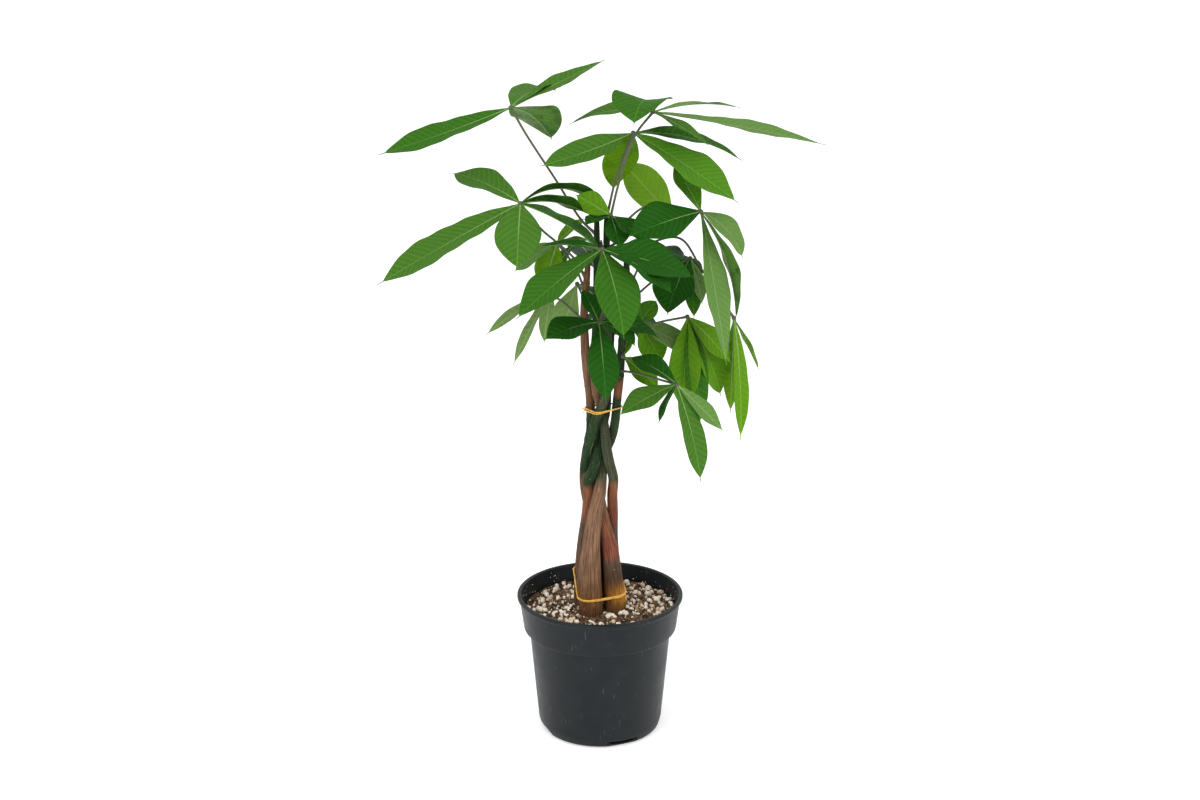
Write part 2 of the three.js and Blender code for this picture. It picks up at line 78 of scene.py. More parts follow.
TIE_RADIUS = 0.8
TIE_CLEAR = 0.6
TIE_UPPER = {"z": 331.3, "climb": 0.12, "rise": 0}
TIE_LOWER = {"z": 142.7, "climb": 0.03, "rise": 20}
TIE_RISE_START = -14  # the y at which a tie starts to rise
TIE_RISE_REACH = 20  # how far behind that it is at its full height
TIE_RISE_SIDE = 24  # how far left of the middle

# ---- finer detail

POT_SIDES = 160
POT_CORNER = 1.3  # how far before a corner its rounding starts
CORNER_STEPS = 5
POT_SHARP_ANGLE = 28
POT_LIP_HEIGHT = 3.6
# The collar's underside is flatter than in the CAD, so that it doesn't catch the light.
COLLAR_UNDER_INNER = POT_COLLAR_FOOT - 5
COLLAR_UNDER_OUTER = POT_COLLAR_FOOT - 2.8
# A drain slot is taller and shallower than in the CAD, so that it looks dark from the front.
DRAIN_HEIGHT = 7
DRAIN_END_RADIUS = 57
DRAIN_CUT = 24  # length of the cutter, which reaches out past the foot

SOIL_RINGS = 60
SOIL_SPOKES = 180
SOIL_ROUGHNESS = 1.5  # height of the lumps
PERLITE_COUNT = 540
PERLITE_RADII = (0.8, 2.7)  # the smallest, and how much is added at most
PERLITE_SHAPE = (1, 0.85, 0.75)
CHIP_COUNT = 900
CHIP_RADII = (0.7, 1.9)
CHIP_SHAPE = (1.5, 0.9, 0.5)
CRUMB_COUNT = 90  # crumbs that stick to the pot's inner wall
CRUMB_RADII = (0.25, 0.7)  # the smallest and the largest
WALL_LEAN = 0.108  # how far that wall goes out for each millimetre up

TRUNK_SIDES = 36
TRUNK_STEPS = 240
TRUNK_END_STEPS = 6  # the last steps of a trunk, which round its end
SCAR_SPACING = 34  # ring-shaped leaf scars on the green part of a trunk
SCAR_START = 250  # they fade in from this height
SCAR_FADE = 60
SCAR_LENGTH = 1.6
SCAR_HEIGHT = 0.35
GRAIN_RADIUS = 8  # of the round column on which the bark's pattern is worked out
CURVE_SAMPLES = 16  # points worked out on each stretch of a curve
TIE_STEPS = 220
TIE_OUT = TIE_CLEAR + 0.6 * TIE_RADIUS  # from the bark to the middle of a strand
STALK_STEPS = 60
STALK_RADIUS = 1.1  # this and the knob are a little slimmer than the CAD's, which have few sides
KNOB_RADIUS = 2.4

BLADE_ROW = 1.3  # length of the blade's cells
BLADE_CELLS = 20
BLADE_THICKNESS = 0.45  # thinner than the CAD's 0.7
TIP_HALF_WIDTH = 0.2
TAIL_START = 0.955  # where the thin tail of the tip starts, as a share of the length
BASE_HALF_WIDTH = 1.2
EDGE_RIPPLE = 0.025  # quick ripple of the edges, by half width
RIPPLE_LENGTH = 25
QUILT_HEIGHT = 0.22  # how far the blade swells between its side veins
VEIN_WANDER = 0.16  # how far a side vein strays, as a share of the spacing
VEIN_NOISE = (0.07, 0.12)  # how quickly that changes along and across the blade
VEIN_SPACING = 6.2
VEIN_STAGGER = 0.45  # how far the veins of one half lie past those of the other, by the spacing
VEIN_LEAN = 0.62  # how far a side vein runs towards the tip for each millimetre outwards
VEIN_CURVE = 0.012
THIN_LEAF = {  # lets some light into the blade, where it turns greener
    "Subsurface_Weight": 0.3,
    "Subsurface_Radius": (0.45, 1, 0.12),
    "Subsurface_Scale": 0.0016,
}
RIB_RADIUS = 0.75
RIB_END = 0.93  # where the midrib stops, as a share of the length

# ---- trunks and leaves, placed as in the CAD

# The five trunks from root to tip: (x, y, z, radius).
TRUNKS = [
    [  # the thick one in front on the left, which ends on the right
        (-7, -12, 62, 9), (-9, -14, 120, 12), (-10, -14, 168, 11.2), (-8.6, -12.8, 198, 8.6),
        (-4.8, -12, 228, 7), (-0.3, -10.4, 250, 6.3), (1.6, -4.6, 265, 5.2), (2.2, 0.8, 279, 5),
        (7.4, 4.4, 292, 4.8), (12.4, 2.6, 306, 4.6), (15, 0, 322, 4.4), (16.2, 0, 338, 4.2),
        (18.5, -1, 362, 4.2), (20.5, -2, 390, 3.9), (23, 0, 425, 3.6), (25, 4, 465, 3),
        (24, 8, 492, 2),
    ],
    [  # the thick one in front on the right, which ends on the left
        (14, -6, 62, 9), (15, -7, 125, 11), (12.8, -7, 160, 9.6), (9.5, -5.5, 190, 8),
        (3.8, 0, 215, 6.4), (-0.2, 5.6, 237, 5.6), (-3, 9.8, 255, 5.1), (-6, 12.2, 270, 4.9),
        (-9.5, 11, 284, 4.7), (-11, 8, 296, 4.6), (-9.1, 5.3, 308, 4.5), (-8.9, 4.4, 325, 4.4),
        (-9.9, 6.2, 346, 4.3), (-12.5, 4, 368, 4.3), (-14.5, 1, 398, 4.1), (-15, 0, 430, 3.7),
        (-12, 0, 465, 3), (-11, 2, 486, 2),
    ],
    [  # behind in the middle, which goes left and comes to the front below the upper tie
        (0, 20, 62, 7), (0, 21, 125, 7.8), (-2, 21.3, 165, 7.2), (-3, 19, 196, 6.6),
        (-9, 15.4, 222, 6.1), (-14.2, 10, 250, 5.6), (-14.6, 4.7, 268, 5.2), (-13.5, -1.3, 283, 4.9),
        (-11.9, -6, 295, 4.9), (-8.2, -8.4, 307, 4.9), (-5.4, -8.6, 320, 4.8), (-0.6, -8.6, 332, 4.6),
        (5, -7.4, 346, 4.5), (7.5, -7, 375, 4.3), (7, -7.4, 410, 3.9), (5, -9, 445, 3.5),
        (2, -9, 480, 2.6), (1, -8, 498, 1.8),
    ],
    [  # behind on the left, which shows in front for a hand's breadth
        (-15, 9, 62, 9), (-16, 9.5, 125, 10.6), (-15.2, 9, 165, 9.8), (-14.2, 6.8, 196, 7.8),
        (-12, 1.8, 224, 6.1), (-11.2, -1.6, 249, 5.4), (-11.6, -5.4, 259, 5.2), (-8.6, -9.2, 268, 5.3),
        (-4.4, -8.8, 280, 4.9), (-2.2, -3.2, 291, 4.7), (-0.4, 3.2, 302, 4.8), (3.2, 7.8, 314, 4.6),
        (6.4, 10.4, 331, 4.3), (6.8, 7, 346, 4.3), (8.5, 6, 375, 4.1), (10, 8, 410, 3.9),
        (9, 11, 450, 3.5), (6, 12, 495, 3), (6, 13, 522, 2),
    ],
    [  # behind on the right, which crosses to the middle
        (15.5, 14, 62, 8), (15.8, 14.6, 125, 8.6), (12.6, 14.2, 165, 7.5), (11.4, 13.2, 195, 6.5),
        (12.4, 11, 222, 5.4), (12.1, 2, 245, 5.2), (12.9, -4.8, 263, 4.9), (8.8, -8.6, 281, 5),
        (6, -8.2, 297, 4.8), (4.4, -4.2, 313, 4.4), (2, 2, 328, 4.2), (-3, 0.6, 346, 4.1),
        (-5.5, -3, 375, 4.1), (-4, -3, 410, 3.9), (-3, 2, 450, 3.6), (-3, 5, 495, 3),
        (-3, 6, 530, 1.8),
    ],
]

# A leaf hangs from trunk number `trunk`, counted from 0, at the height `at`. Its stalk bends through
# `via` to its hub, where the leaflets meet. `tone` names one of TONES for all the leaflets, or one for
# each. Leaflets are (heading, pitch, length, droop, width, roll), with the heading counted from +X
# anticlockwise seen from above, all angles in degrees, and no roll where it is left out.
# A darker tone on a leaflet that lies in the shade of others is painted shade, and a pale, lime or young
# tone on a hanging leaflet is partly painted sheen or light shining through it.
Leaf = namedtuple("Leaf", "trunk at via hub tone leaflets")
LEAVES = [
    # 1: top left
    Leaf(4, 500, [(-19, 28, 512), (-41, 25, 548), (-70, 16, 595)], (-82, 10, 618), "rich mid mid pale", [
        (-172, -18.6, 129, -7, 34, -26), (35, 20, 113, 2, 24, 8), (64, 5, 90, 36, 46, -4),
        (57, -29, 76, 46, 50, -8),
    ]),
    # 2: top right
    Leaf(3, 498, [(18, 10, 550), (31.5, 14, 590)], (50, 40, 611), "mid rich pale pale mid", [
        (164, -10, 84, 36, 30, -12), (-106, -4, 72, 98, 56), (30, -1, 100, 26, 16),
        (-4, -10.4, 166, 5, 27, 12), (-40, -22, 70, 10, 19),
    ]),
    # 3: top centre
    Leaf(3, 514, [(16, 20, 555)], (31, 25, 593), "mid lime bright rich", [
        (-161, -16.5, 95, -12, 32, -34), (110, -49, 82, 14, 35), (-17, -31, 119, 10, 47, 20),
        (24, -15.5, 121, 34, 31, 20),
    ]),
    # 4: left
    Leaf(1, 458, [(-24, 2, 478), (-41, -2, 495), (-54, -6, 507)], (-73, -20, 534), "mid", [
        (143, 14, 86, 24, 38, -14), (-166, -27.4, 151, 4, 43, -22), (-92, -49, 70, 28, 43),
        (-15, -28, 88, 26, 44, -26), (28, -3.5, 85, 72, 30, -22), (10, -10, 62, 46, 34, -24),
    ]),
    # 5: right
    Leaf(3, 492, [(22, 14, 509), (42, 15, 525), (69, 6, 527)], (94, 0, 523), "bright dark pale pale pale", [
        (125, 47, 60, -5, 27), (-157, -14, 77, 18, 44, -34), (-20, -45, 58, 56, 36, 12),
        (-40, -77, 146, 4, 34), (13, -71, 113, 36, 37),
    ]),
    # 6: behind the right one, young
    Leaf(3, 486, [(40, 44, 500)], (72, 72, 504), "lime", [
        (166, 46, 76, 5, 38, -58), (100, -20, 60, 30, 28), (180, -34, 50, 20, 28),
    ]),
    # 7: front
    Leaf(2, 462, [(2, -36, 482)], (2, -60, 499), "rich rich dark dark dark", [
        (-152, -32.5, 103, 14, 45, -10), (-65, -58, 86, 34, 43), (-18, -29, 76, 34, 42, 8),
        (4, -18, 88, 16, 50, 26), (172, 2, 55, 20, 26),
    ]),
    # 8: lower front
    Leaf(2, 424, [(4, -30, 440)], (-1, -45, 428), "dark", [
        (-146, -8, 60, 25, 35, -18), (-81, -58, 77, 20, 29), (-40, -20, 46, 40, 26),
        (4, -16, 58, 40, 36, 12), (120, 40, 40, 10, 18),
    ]),
    # 9: lower right, hanging
    Leaf(0, 402, [(52, 8, 414)], (84, 20, 418), "young rich young young", [
        (-98, -72, 92, 14, 31), (-64, -74, 105, 14, 25), (6, -67, 88, 24, 36, 50),
        (-10, -46, 62, 20, 27, 34),
    ]),
    # 10: lowest, on the right
    Leaf(0, 370, [(36, -38, 377)], (71, -50, 370), "mid mid pale dark dark", [
        (-151, -19, 65, 18, 28, -16), (-50, -68, 93, 20, 28), (-4, -45, 63, 8, 18, 40),
        (-166, -65, 40, 12, 17), (150, 22, 54, 26, 30, -10),
    ]),
    # 11: far right, hanging
    Leaf(0, 470, [(48, 26, 488), (76, 27, 493), (98, 25, 462)], (129, 24, 416), "lime young lime", [
        (45, -56, 73, 3, 14, 20), (-56, -83, 121, 16, 19), (90, -83, 101, 6, 18),
    ]),
    # 12: young one at the left
    Leaf(1, 446, [(-24, 16, 468)], (-41, 30, 488), "pale lime young young", [
        (180, -34, 50, 20, 27, -28), (142, -70, 52, 16, 28, 40), (38, 32, 38, 10, 20),
        (20, 0, 34, 20, 18),
    ]),
    # 13: lower left, narrow
    Leaf(1, 418, [(-34, 12, 433), (-49, 32, 439)], (-47, 52, 438), "olive", [
        (180, -35, 80, 10, 18, -24), (180, -63, 86, 8, 17, -30), (-110, -66, 54, 10, 16),
    ]),
    # 14: small one low on the right
    Leaf(0, 390, [(22, -5, 388)], (22, -8, 386), "young", [
        (75, 36, 26, 0, 13), (-15, -40, 46, 14, 26, 30),
    ]),
    # 15: crown centre
    Leaf(4, 515, [(4, 4, 517)], (10, 2, 519), "dark dark dark dark young", [
        (-28, -32, 42, 20, 27, 10), (-134, -8, 34, 24, 21), (-170, -7, 26, 20, 18),
        (-70, -46, 36, 20, 26), (174, 30, 38, 10, 24, -54),
    ]),
    # 16: back right
    Leaf(0, 440, [(48, 60, 478)], (62, 92, 472), "dark", [
        (150, -10, 60, 30, 34), (85, -30, 90, 40, 40), (50, -40, 78, 30, 36), (-60, -55, 48, 30, 32),
    ]),
    # 17: back left
    Leaf(2, 455, [(-16, 60, 480)], (-24, 90, 476), "dark", [
        (-150, -50, 54, 30, 28), (130, -25, 90, 40, 38), (75, -30, 80, 40, 40), (10, -35, 60, 30, 34),
    ]),
    # 18: low at the back
    Leaf(3, 420, [(14, 50, 430)], (16, 76, 418), "dark", [
        (150, -40, 60, 30, 30), (95, -40, 84, 40, 38), (40, -40, 74, 40, 36), (-20, -55, 56, 20, 30),
    ]),
    # 19: right of the stems, in the shade of the others
    Leaf(0, 432, [(52, 28, 452)], (87, 40, 471), "rich olive dark", [
        (-74, -76, 58, 12, 18), (-48, -68, 46, 14, 18), (-132, -56, 61, 24, 47),
    ]),
    # 20: pale one low on the left
    Leaf(1, 436, [(-18, 18, 442)], (-22, 30, 448), "olive dark", [
        (-138, -70, 56, 14, 34), (62, -29, 46, 20, 26),
    ]),
    # 21: small one between the stems and the lower right
    Leaf(3, 404, [(26, 18, 409)], (38, 24, 411), "olive young bright", [
        (-6, -28, 58, 14, 28, 36), (-8, -60, 45, 14, 31, 60), (30, 46, 28, 10, 22, 30),
    ]),
]

# ---- colours

# The colours of the bark, and those of each trunk from root to tip: (height, colour).
BARK_TONES = {
    "foot": (0.080, 0.036, 0.016),
    "brown": (0.142, 0.072, 0.037),
    "pink": (0.195, 0.104, 0.060),
    "rust": (0.215, 0.086, 0.040),
    "red": (0.185, 0.058, 0.032),
    "grey": (0.086, 0.054, 0.036),
    "green": (0.018, 0.042, 0.014),
    "moss": (0.056, 0.064, 0.034),
}
BARK = [
    [(120, "foot"), (150, "brown"), (190, "pink"), (254, "pink"), (266, "moss"), (330, "green"),
     (342, "green"), (346, "rust"), (358, "rust"), (364, "green")],
    [(120, "foot"), (150, "foot"), (176, "grey"), (186, "red"), (202, "red"), (212, "rust"), (236, "pink"),
     (262, "green"), (322, "green"), (336, "brown"), (372, "pink"), (400, "brown")],
    [(120, "foot"), (215, "brown"), (258, "brown"), (268, "green"), (322, "green"), (340, "moss")],
    [(120, "foot"), (150, "brown"), (210, "grey"), (226, "rust"), (251, "rust"), (258, "green")],
    [(120, "foot"), (150, "grey"), (205, "grey"), (214, "red"), (256, "rust"), (262, "moss"), (318, "moss"),
     (330, "green"), (336, "pink"), (356, "pink"), (372, "green")],
]
STAIN_REACH = 10  # how far the lower tie's orange dye has crept along the bark

# The greens of each tone: the blade between its veins, the blade near them (darker, as painted shade along
# the
# sunken veins), and its underside and ribs. They are partly the leaves' own greens and partly painted
# light:
# "dark" also stands for painted shade on leaflets deep in the crown or behind others, "pale" mostly for
# painted sheen and light on hanging leaflets, and "lime" and "young" partly for painted light shining
# through a blade.
TONES = {
    "dark": ((0.003, 0.054, 0.001), (0.002, 0.036, 0.001), (0.018, 0.085, 0.008)),
    "rich": ((0.014, 0.084, 0.002), (0.008, 0.058, 0.001), (0.040, 0.130, 0.012)),
    "mid": ((0.028, 0.104, 0.005), (0.016, 0.076, 0.003), (0.062, 0.155, 0.020)),
    "young": ((0.068, 0.185, 0.002), (0.048, 0.142, 0.001), (0.100, 0.230, 0.012)),
    "lime": ((0.128, 0.268, 0.008), (0.096, 0.220, 0.005), (0.165, 0.300, 0.025)),
    "pale": ((0.082, 0.178, 0.032), (0.060, 0.142, 0.023), (0.115, 0.215, 0.055)),
    "bright": ((0.036, 0.155, 0.003), (0.014, 0.095, 0.002), (0.080, 0.205, 0.016)),
    "olive": ((0.110, 0.185, 0.045), (0.085, 0.150, 0.034), (0.145, 0.230, 0.075)),
}

random = np.random.default_rng(SEED)

# ---- meshes


def add_object(name, data):
    """Puts a mesh, a lamp or a camera in the scene."""
    thing = bpy.data.objects.new(name, data)
    bpy.context.scene.collection.objects.link(thing)
    return thing


def make_piece(name, parts, finishes, replaces, sharp=180):
    """One object from parts, each (points in mm, faces, material number, {attribute: values})."""
    mesh = bpy.data.meshes.new(name)
    points, faces, numbers = [], [], []
    for part_points, part_faces, number, _ in parts:
        start = sum(len(p) for p in points)
        points.append(part_points)
        faces += [tuple(start + corner for corner in face) for face in part_faces]
        numbers += [number] * len(part_faces)
    mesh.from_pydata(np.concatenate(points) * MM, [], faces)
    for key in parts[0][3]:
        values = np.concatenate([np.asarray(part[3][key], float) for part in parts])
        kind, field = ("FLOAT", "value") if values.ndim == 1 else ("FLOAT_VECTOR", "vector")
        mesh.attributes.new(key, kind, "POINT").data.foreach_set(field, values.ravel())
    for finish in finishes:
        mesh.materials.append(finish.material)
    mesh.polygons.foreach_set("material_index", numbers)
    mesh.shade_smooth()
    if sharp < 180:
        mesh.set_sharp_from_angle(angle=math.radians(sharp))
    piece = add_object(name, mesh)
    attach(piece, BODY)
    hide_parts(*replaces)
    return piece


def grid_faces(rows, columns, wrap_rows=False, wrap_columns=False):
    """Quads between the points of a grid that is stored row by row."""
    faces = []
    for i in range(rows if wrap_rows else rows - 1):
        here, above = i * columns, (i + 1) % rows * columns
        for j in range(columns if wrap_columns else columns - 1):
            right = (j + 1) % columns
            faces.append((here + j, here + right, above + right, above + j))
    return faces


def unit(vectors):
    return vectors / np.linalg.norm(vectors, axis=-1, keepdims=True)


def round_angles(count):
    """Evenly spaced angles round a circle."""
    return np.linspace(0, 2 * np.pi, count, endpoint=False)


def polar(radius, angle, *height):
    return (radius * math.cos(angle), radius * math.sin(angle), *height)


def distances(path):
    """How far along the path each of its points lies."""
    steps = np.linalg.norm(np.diff(path[:, :3], axis=0), axis=1)
    return np.insert(np.cumsum(steps), 0, 0)


def smooth_path(rows, steps, closed=False):
    """Evenly spaced points on a centripetal Catmull-Rom curve through rows (x, y, z, ...)."""
    rows = np.array(rows, float)
    if closed:
        padded = np.vstack([rows[-1], rows, rows[:2]])
    else:
        padded = np.vstack([2 * rows[0] - rows[1], rows, 2 * rows[-1] - rows[-2]])
    t = np.linspace(0, 1, CURVE_SAMPLES, endpoint=False)[:, None]
    stretches = []
    for a, b, c, d in zip(padded, padded[1:], padded[2:], padded[3:]):
        k, m, n = (math.sqrt(max(np.linalg.norm((q - p)[:3]), 1e-6)) for p, q in ((a, b), (b, c), (c, d)))
        leave = ((b - a) / k - (c - a) / (k + m) + (c - b) / m) * m
        arrive = ((c - b) / m - (d - b) / (m + n) + (d - c) / n) * m
        stretches.append(
            (2 * t**3 - 3 * t**2 + 1) * b + (t**3 - 2 * t**2 + t) * leave
            + (3 * t**2 - 2 * t**3) * c + (t**3 - t**2) * arrive
        )
    curve = np.vstack([*stretches, padded[-2]])
    travelled = distances(curve)
    even = np.linspace(0, travelled[-1], steps + 1)
    path = np.column_stack([np.interp(even, travelled, column) for column in curve.T])
    return path[:-1] if closed else path


def section_frames(path, closed):
    """Two directions across the path at each of its points."""
    if closed:
        tangents = unit(np.roll(path, -1, axis=0) - np.roll(path, 1, axis=0))
    else:
        tangents = unit(np.gradient(path, axis=0))
    first = []
    right, back, up = np.eye(3)
    guess = right if abs(tangents[0][0]) < 0.8 else back
    for tangent in tangents:
        guess = up if closed else guess  # a closed ring lies nearly level
        guess = unit(guess - tangent * guess.dot(tangent))
        first.append(guess)
    first = np.array(first)
    return first, np.cross(tangents, first)


def sweep(path, radii, sides, closed=False, number=0):
    """A tube, as a part of a piece. radii holds one radius for each point of the path, or side of it."""
    across, over = section_frames(path, closed)
    angles = round_angles(sides)
    radii = np.broadcast_to(np.asarray(radii, float).reshape(len(path), -1), (len(path), sides))
    ring = across[:, None] * np.cos(angles)[:, None] + over[:, None] * np.sin(angles)[:, None]
    points = path[:, None] + ring * radii[..., None]
    faces = grid_faces(len(path), sides, wrap_rows=closed, wrap_columns=True)
    if not closed:
        faces.append(tuple(reversed(range(sides))))
        faces.append(tuple(range((len(path) - 1) * sides, len(path) * sides)))
    return points.reshape(-1, 3), faces, number, {}


def ball(centre, radii, turn=None, detail=2, lumps=0.0):
    """A rounded lump, as a part of a piece. radii is one number, or three along its own axes."""
    points, faces = BALLS[detail]
    swell = 1 + lumps * random.normal(size=(len(points), 1))
    points = points * swell * np.asarray(radii, float)
    if turn is not None:
        points = points @ turn.T
    return points + np.asarray(centre, float), faces, 0, {}


def unit_ball(detail):
    shape = bmesh.new()
    bmesh.ops.create_icosphere(shape, subdivisions=detail, radius=1)
    points = np.array([corner.co for corner in shape.verts])
    faces = [tuple(corner.index for corner in face.verts) for face in shape.faces]
    shape.free()
    return points, faces


BALLS = {detail: unit_ball(detail) for detail in (1, 2)}

# ---- materials


class Finish:
    """A material whose nodes feed one Principled shader. Constants go on the shader's own sockets."""

    def __init__(self, name, **constants):
        self.material = bpy.data.materials.new(name)
        self.material.use_nodes = True
        self.nodes = self.material.node_tree.nodes
        self.links = self.material.node_tree.links
        self.shader = self.nodes["Principled BSDF"]
        self.colour = self.relief = None
        self.place = self.add("TexCoord").outputs["Object"]  # where its textures are read, in metres
        for socket, value in constants.items():
            self.surface(socket.replace("_", " "), value)

    def add(self, kind, settings=None, **inputs):
        """A node with its sockets fed by other sockets or by constants."""
        node = self.nodes.new("ShaderNode" + kind)
        for key, value in (settings or {}).items():
            setattr(node, key, value)
        for key, value in inputs.items():
            self.feed(node.inputs[key.replace("_", " ")], value)
        return node

    def feed(self, socket, value):
        if isinstance(value, bpy.types.NodeSocket):
            self.links.new(value, socket)
        elif hasattr(value, "__len__") and len(value) == 3 and socket.type == "RGBA":
            socket.default_value = (*value, 1)
        else:
            socket.default_value = value

    def surface(self, socket, value):
        self.feed(self.shader.inputs[socket], value)

    def attribute(self, name, output="Fac"):
        return self.add("Attribute", {"attribute_name": name}).outputs[output]

    def texture(self, kind, scale, **inputs):
        """A texture of one scale, or of three scales along the axes."""
        if isinstance(scale, tuple):
            stretched = self.add("Mapping", Vector=self.place, Scale=scale)
            return self.add(kind, Vector=stretched.outputs["Vector"], Scale=1, **inputs)
        return self.add(kind, Vector=self.place, Scale=scale, **inputs)

    def noise(self, scale, detail=3, roughness=0.5):
        return self.texture("TexNoise", scale, Detail=detail, Roughness=roughness).outputs["Fac"]

    def cells(self, scale):
        """The distance from the nearest of many scattered points."""
        return self.texture("TexVoronoi", scale).outputs["Distance"]

    def math(self, operation, *values):
        node = self.add("Math", {"operation": operation})
        for socket, value in zip(node.inputs, values):
            self.feed(socket, value)
        return node.outputs[0]

    def times(self, first, second):
        return self.math("MULTIPLY", first, second)

    def ramp(self, value, low, high, start=0, end=1):
        """value eased from start to end as it goes from low to high."""
        limits = {"From_Min": low, "From_Max": high, "To_Min": start, "To_Max": end}
        return self.add("MapRange", {"interpolation_type": "SMOOTHSTEP"}, Value=value, **limits).outputs[0]

    def shaded(self, colour, factor):
        """A colour made lighter or darker."""
        return self.add("VectorMath", {"operation": "SCALE"}, Vector=colour, Scale=factor).outputs[0]

    def paint(self, colour, share=None, *limits):
        """Lays a colour over those so far, as thickly as share says, or a ramp of share with limits."""
        if share is not None:
            share = self.ramp(share, *limits) if limits else share
            node = self.add("Mix", {"data_type": "RGBA"})
            for index, value in ((0, share), (6, self.colour), (7, colour)):
                self.feed(node.inputs[index], value)
            colour = node.outputs[2]
        self.colour = colour
        self.surface("Base Color", colour)

    def bump(self, height, distance):
        """Relief of that many millimetres, on top of the relief so far."""
        node = self.add("Bump", Height=height, Distance=distance * MM)
        if self.relief:
            self.feed(node.inputs["Normal"], self.relief)
        self.relief = node.outputs["Normal"]
        self.surface("Normal", self.relief)

    def roughen(self, value, start, end, low=0.3, high=0.7):
        self.surface("Roughness", self.ramp(value, low, high, start, end))


def scaled(colour, factor):
    return tuple(factor * part for part in colour)


def blade_pattern(finish):
    """Masks from the blade's own coordinates: side veins, the swell between them, midrib, edge."""
    phase, distance, edge = finish.add("SeparateXYZ", Vector=finish.attribute("blade", "Vector")).outputs
    from_vein = finish.math("ABSOLUTE", finish.math("SUBTRACT", finish.math("FRACT", phase), 0.5))
    vein = finish.ramp(from_vein, 0, 0.085, 1, 0)
    swell = finish.ramp(from_vein, 0, 0.42)
    midrib = finish.ramp(distance, 0.35, 1.25, 1, 0)
    return vein, swell, midrib, finish.ramp(edge, 0.93, 1)


def blade_top(tone):
    """The upper side: it swells between sunken side veins, with painted shade darker near them, and has a
    paler midrib.
    """
    light, dark, pale = TONES[tone]
    finish = Finish(f"leaf_{tone}_top", Specular_IOR_Level=0.035, **THIN_LEAF)
    vein, swell, midrib, edge = blade_pattern(finish)
    patches = finish.ramp(finish.noise(46, 4, 0.65), 0.38, 0.58)
    fine = finish.noise(420, 4, 0.6)
    finish.paint(scaled(dark, 0.62))
    # painted light and shade of the quilting: lighter green on the swells, darker along the sunken veins
    finish.paint(scaled(light, 1.1), finish.times(finish.ramp(swell, 0, 1, 0.55, 1), patches))
    finish.paint(dark, finish.attribute("shade"), 0, 1, 0, 0.4)
    finish.paint(pale, fine, 0.55, 0.75, 0, 0.12)
    finish.paint(pale, finish.times(vein, 0.12))
    finish.paint(scaled(pale, 1.1), finish.times(midrib, 0.6))
    finish.paint(pale, finish.times(edge, 0.25))
    finish.paint(dark, finish.attribute("tip"), 0.88, 1, 0, 0.6)
    finish.roughen(fine, 0.38, 0.5)
    finish.bump(swell, 0.08)
    finish.bump(midrib, -0.35)
    finish.bump(fine, 0.05)
    return finish


def blade_under(tone):
    """The underside: paler and duller, with raised veins."""
    light, _, pale = TONES[tone]
    finish = Finish(f"leaf_{tone}_under", Specular_IOR_Level=0.04, **THIN_LEAF)
    vein, swell, midrib, _ = blade_pattern(finish)
    veined = finish.math("MAXIMUM", finish.times(vein, 0.6), midrib)
    fine = finish.noise(420, 4, 0.6)
    finish.paint(pale)
    finish.paint(light, finish.times(swell, 0.5))
    finish.paint(pale, fine, 0.4, 0.7, 0, 0.3)
    finish.paint(scaled(pale, 1.35), veined)
    finish.roughen(fine, 0.5, 0.66)
    finish.bump(veined, 0.4)
    finish.bump(fine, 0.06)
    return finish


def stalk_finish():
    """Leaf stalks: olive, with a purple-grey flush and a fine grain."""
    finish = Finish("leaf_stalk", Specular_IOR_Level=0.35)
    grain = finish.noise(700, 4)
    finish.paint((0.055, 0.085, 0.03))
    finish.paint((0.075, 0.062, 0.052), finish.noise(22, 2), 0.35, 0.65)
    finish.paint((0.15, 0.19, 0.08), grain, 0.5, 0.7, 0, 0.35)
    finish.roughen(grain, 0.45, 0.6)
    finish.bump(grain, 0.12)
    return finish


def rib_finish():
    """The raised midrib under each leaflet."""
    finish = Finish("leaf_rib", Specular_IOR_Level=0.35)
    grain = finish.noise(600, 4)
    finish.paint((0.13, 0.24, 0.06))
    finish.paint((0.21, 0.33, 0.11), grain, 0.35, 0.65)
    finish.roughen(grain, 0.42, 0.55)
    finish.bump(grain, 0.08)
    return finish


def bark_finish():
    """Streaked bark with pale pores and scars, in the tones of its height, and the lower tie's dye."""
    finish = Finish("bark", Specular_IOR_Level=0.12)
    finish.place = finish.attribute("grain", "Vector")
    tone = finish.attribute("tone", "Vector")
    streaks = finish.noise((0.9, 0.9, 0.045), 6, 0.62)
    hairs = finish.noise((2.8, 2.8, 0.1), 5, 0.6)
    blotch = finish.noise((0.16, 0.16, 0.07))
    pores = finish.ramp(finish.cells((0.34, 0.34, 0.24)), 0.09, 0.18, 1, 0)
    pores = finish.times(pores, finish.attribute("pores"))
    scars = finish.noise((0.28, 0.28, 0.09), 2)
    finish.paint(finish.shaded(tone, finish.ramp(streaks, 0.33, 0.64, 0.38, 1.3)))
    finish.paint(finish.shaded(tone, 0.72), blotch, 0.48, 0.68, 0, 0.5)
    finish.paint(finish.shaded(tone, 2), hairs, 0.56, 0.74, 0, 0.55)
    finish.paint((0.33, 0.3, 0.19), pores)
    finish.paint((0.3, 0.23, 0.12), scars, 0.66, 0.72, 0, 0.55)
    dyed = finish.times(finish.attribute("stain"), finish.ramp(hairs, 0.34, 0.6, 0.08, 1))
    finish.paint((0.62, 0.27, 0.03), dyed)
    finish.roughen(streaks, 0.78, 0.6, 0.35, 0.65)
    finish.bump(streaks, 0.9)
    finish.bump(hairs, 0.35)
    finish.bump(pores, 0.25)
    return finish


def raffia_finish():
    """The ties: golden fibre in fine strands, with a silky shine."""
    finish = Finish("raffia", Specular_IOR_Level=0.5)
    strands = finish.noise((250, 250, 1600), 4, 0.6)
    finish.paint((0.6, 0.27, 0.024))
    finish.paint((0.9, 0.54, 0.09), strands, 0.35, 0.65)
    finish.paint((0.9, 0.62, 0.22), finish.noise(60, 2), 0.5, 0.7, 0, 0.4)
    finish.roughen(strands, 0.35, 0.55)
    finish.bump(strands, 0.2)
    return finish


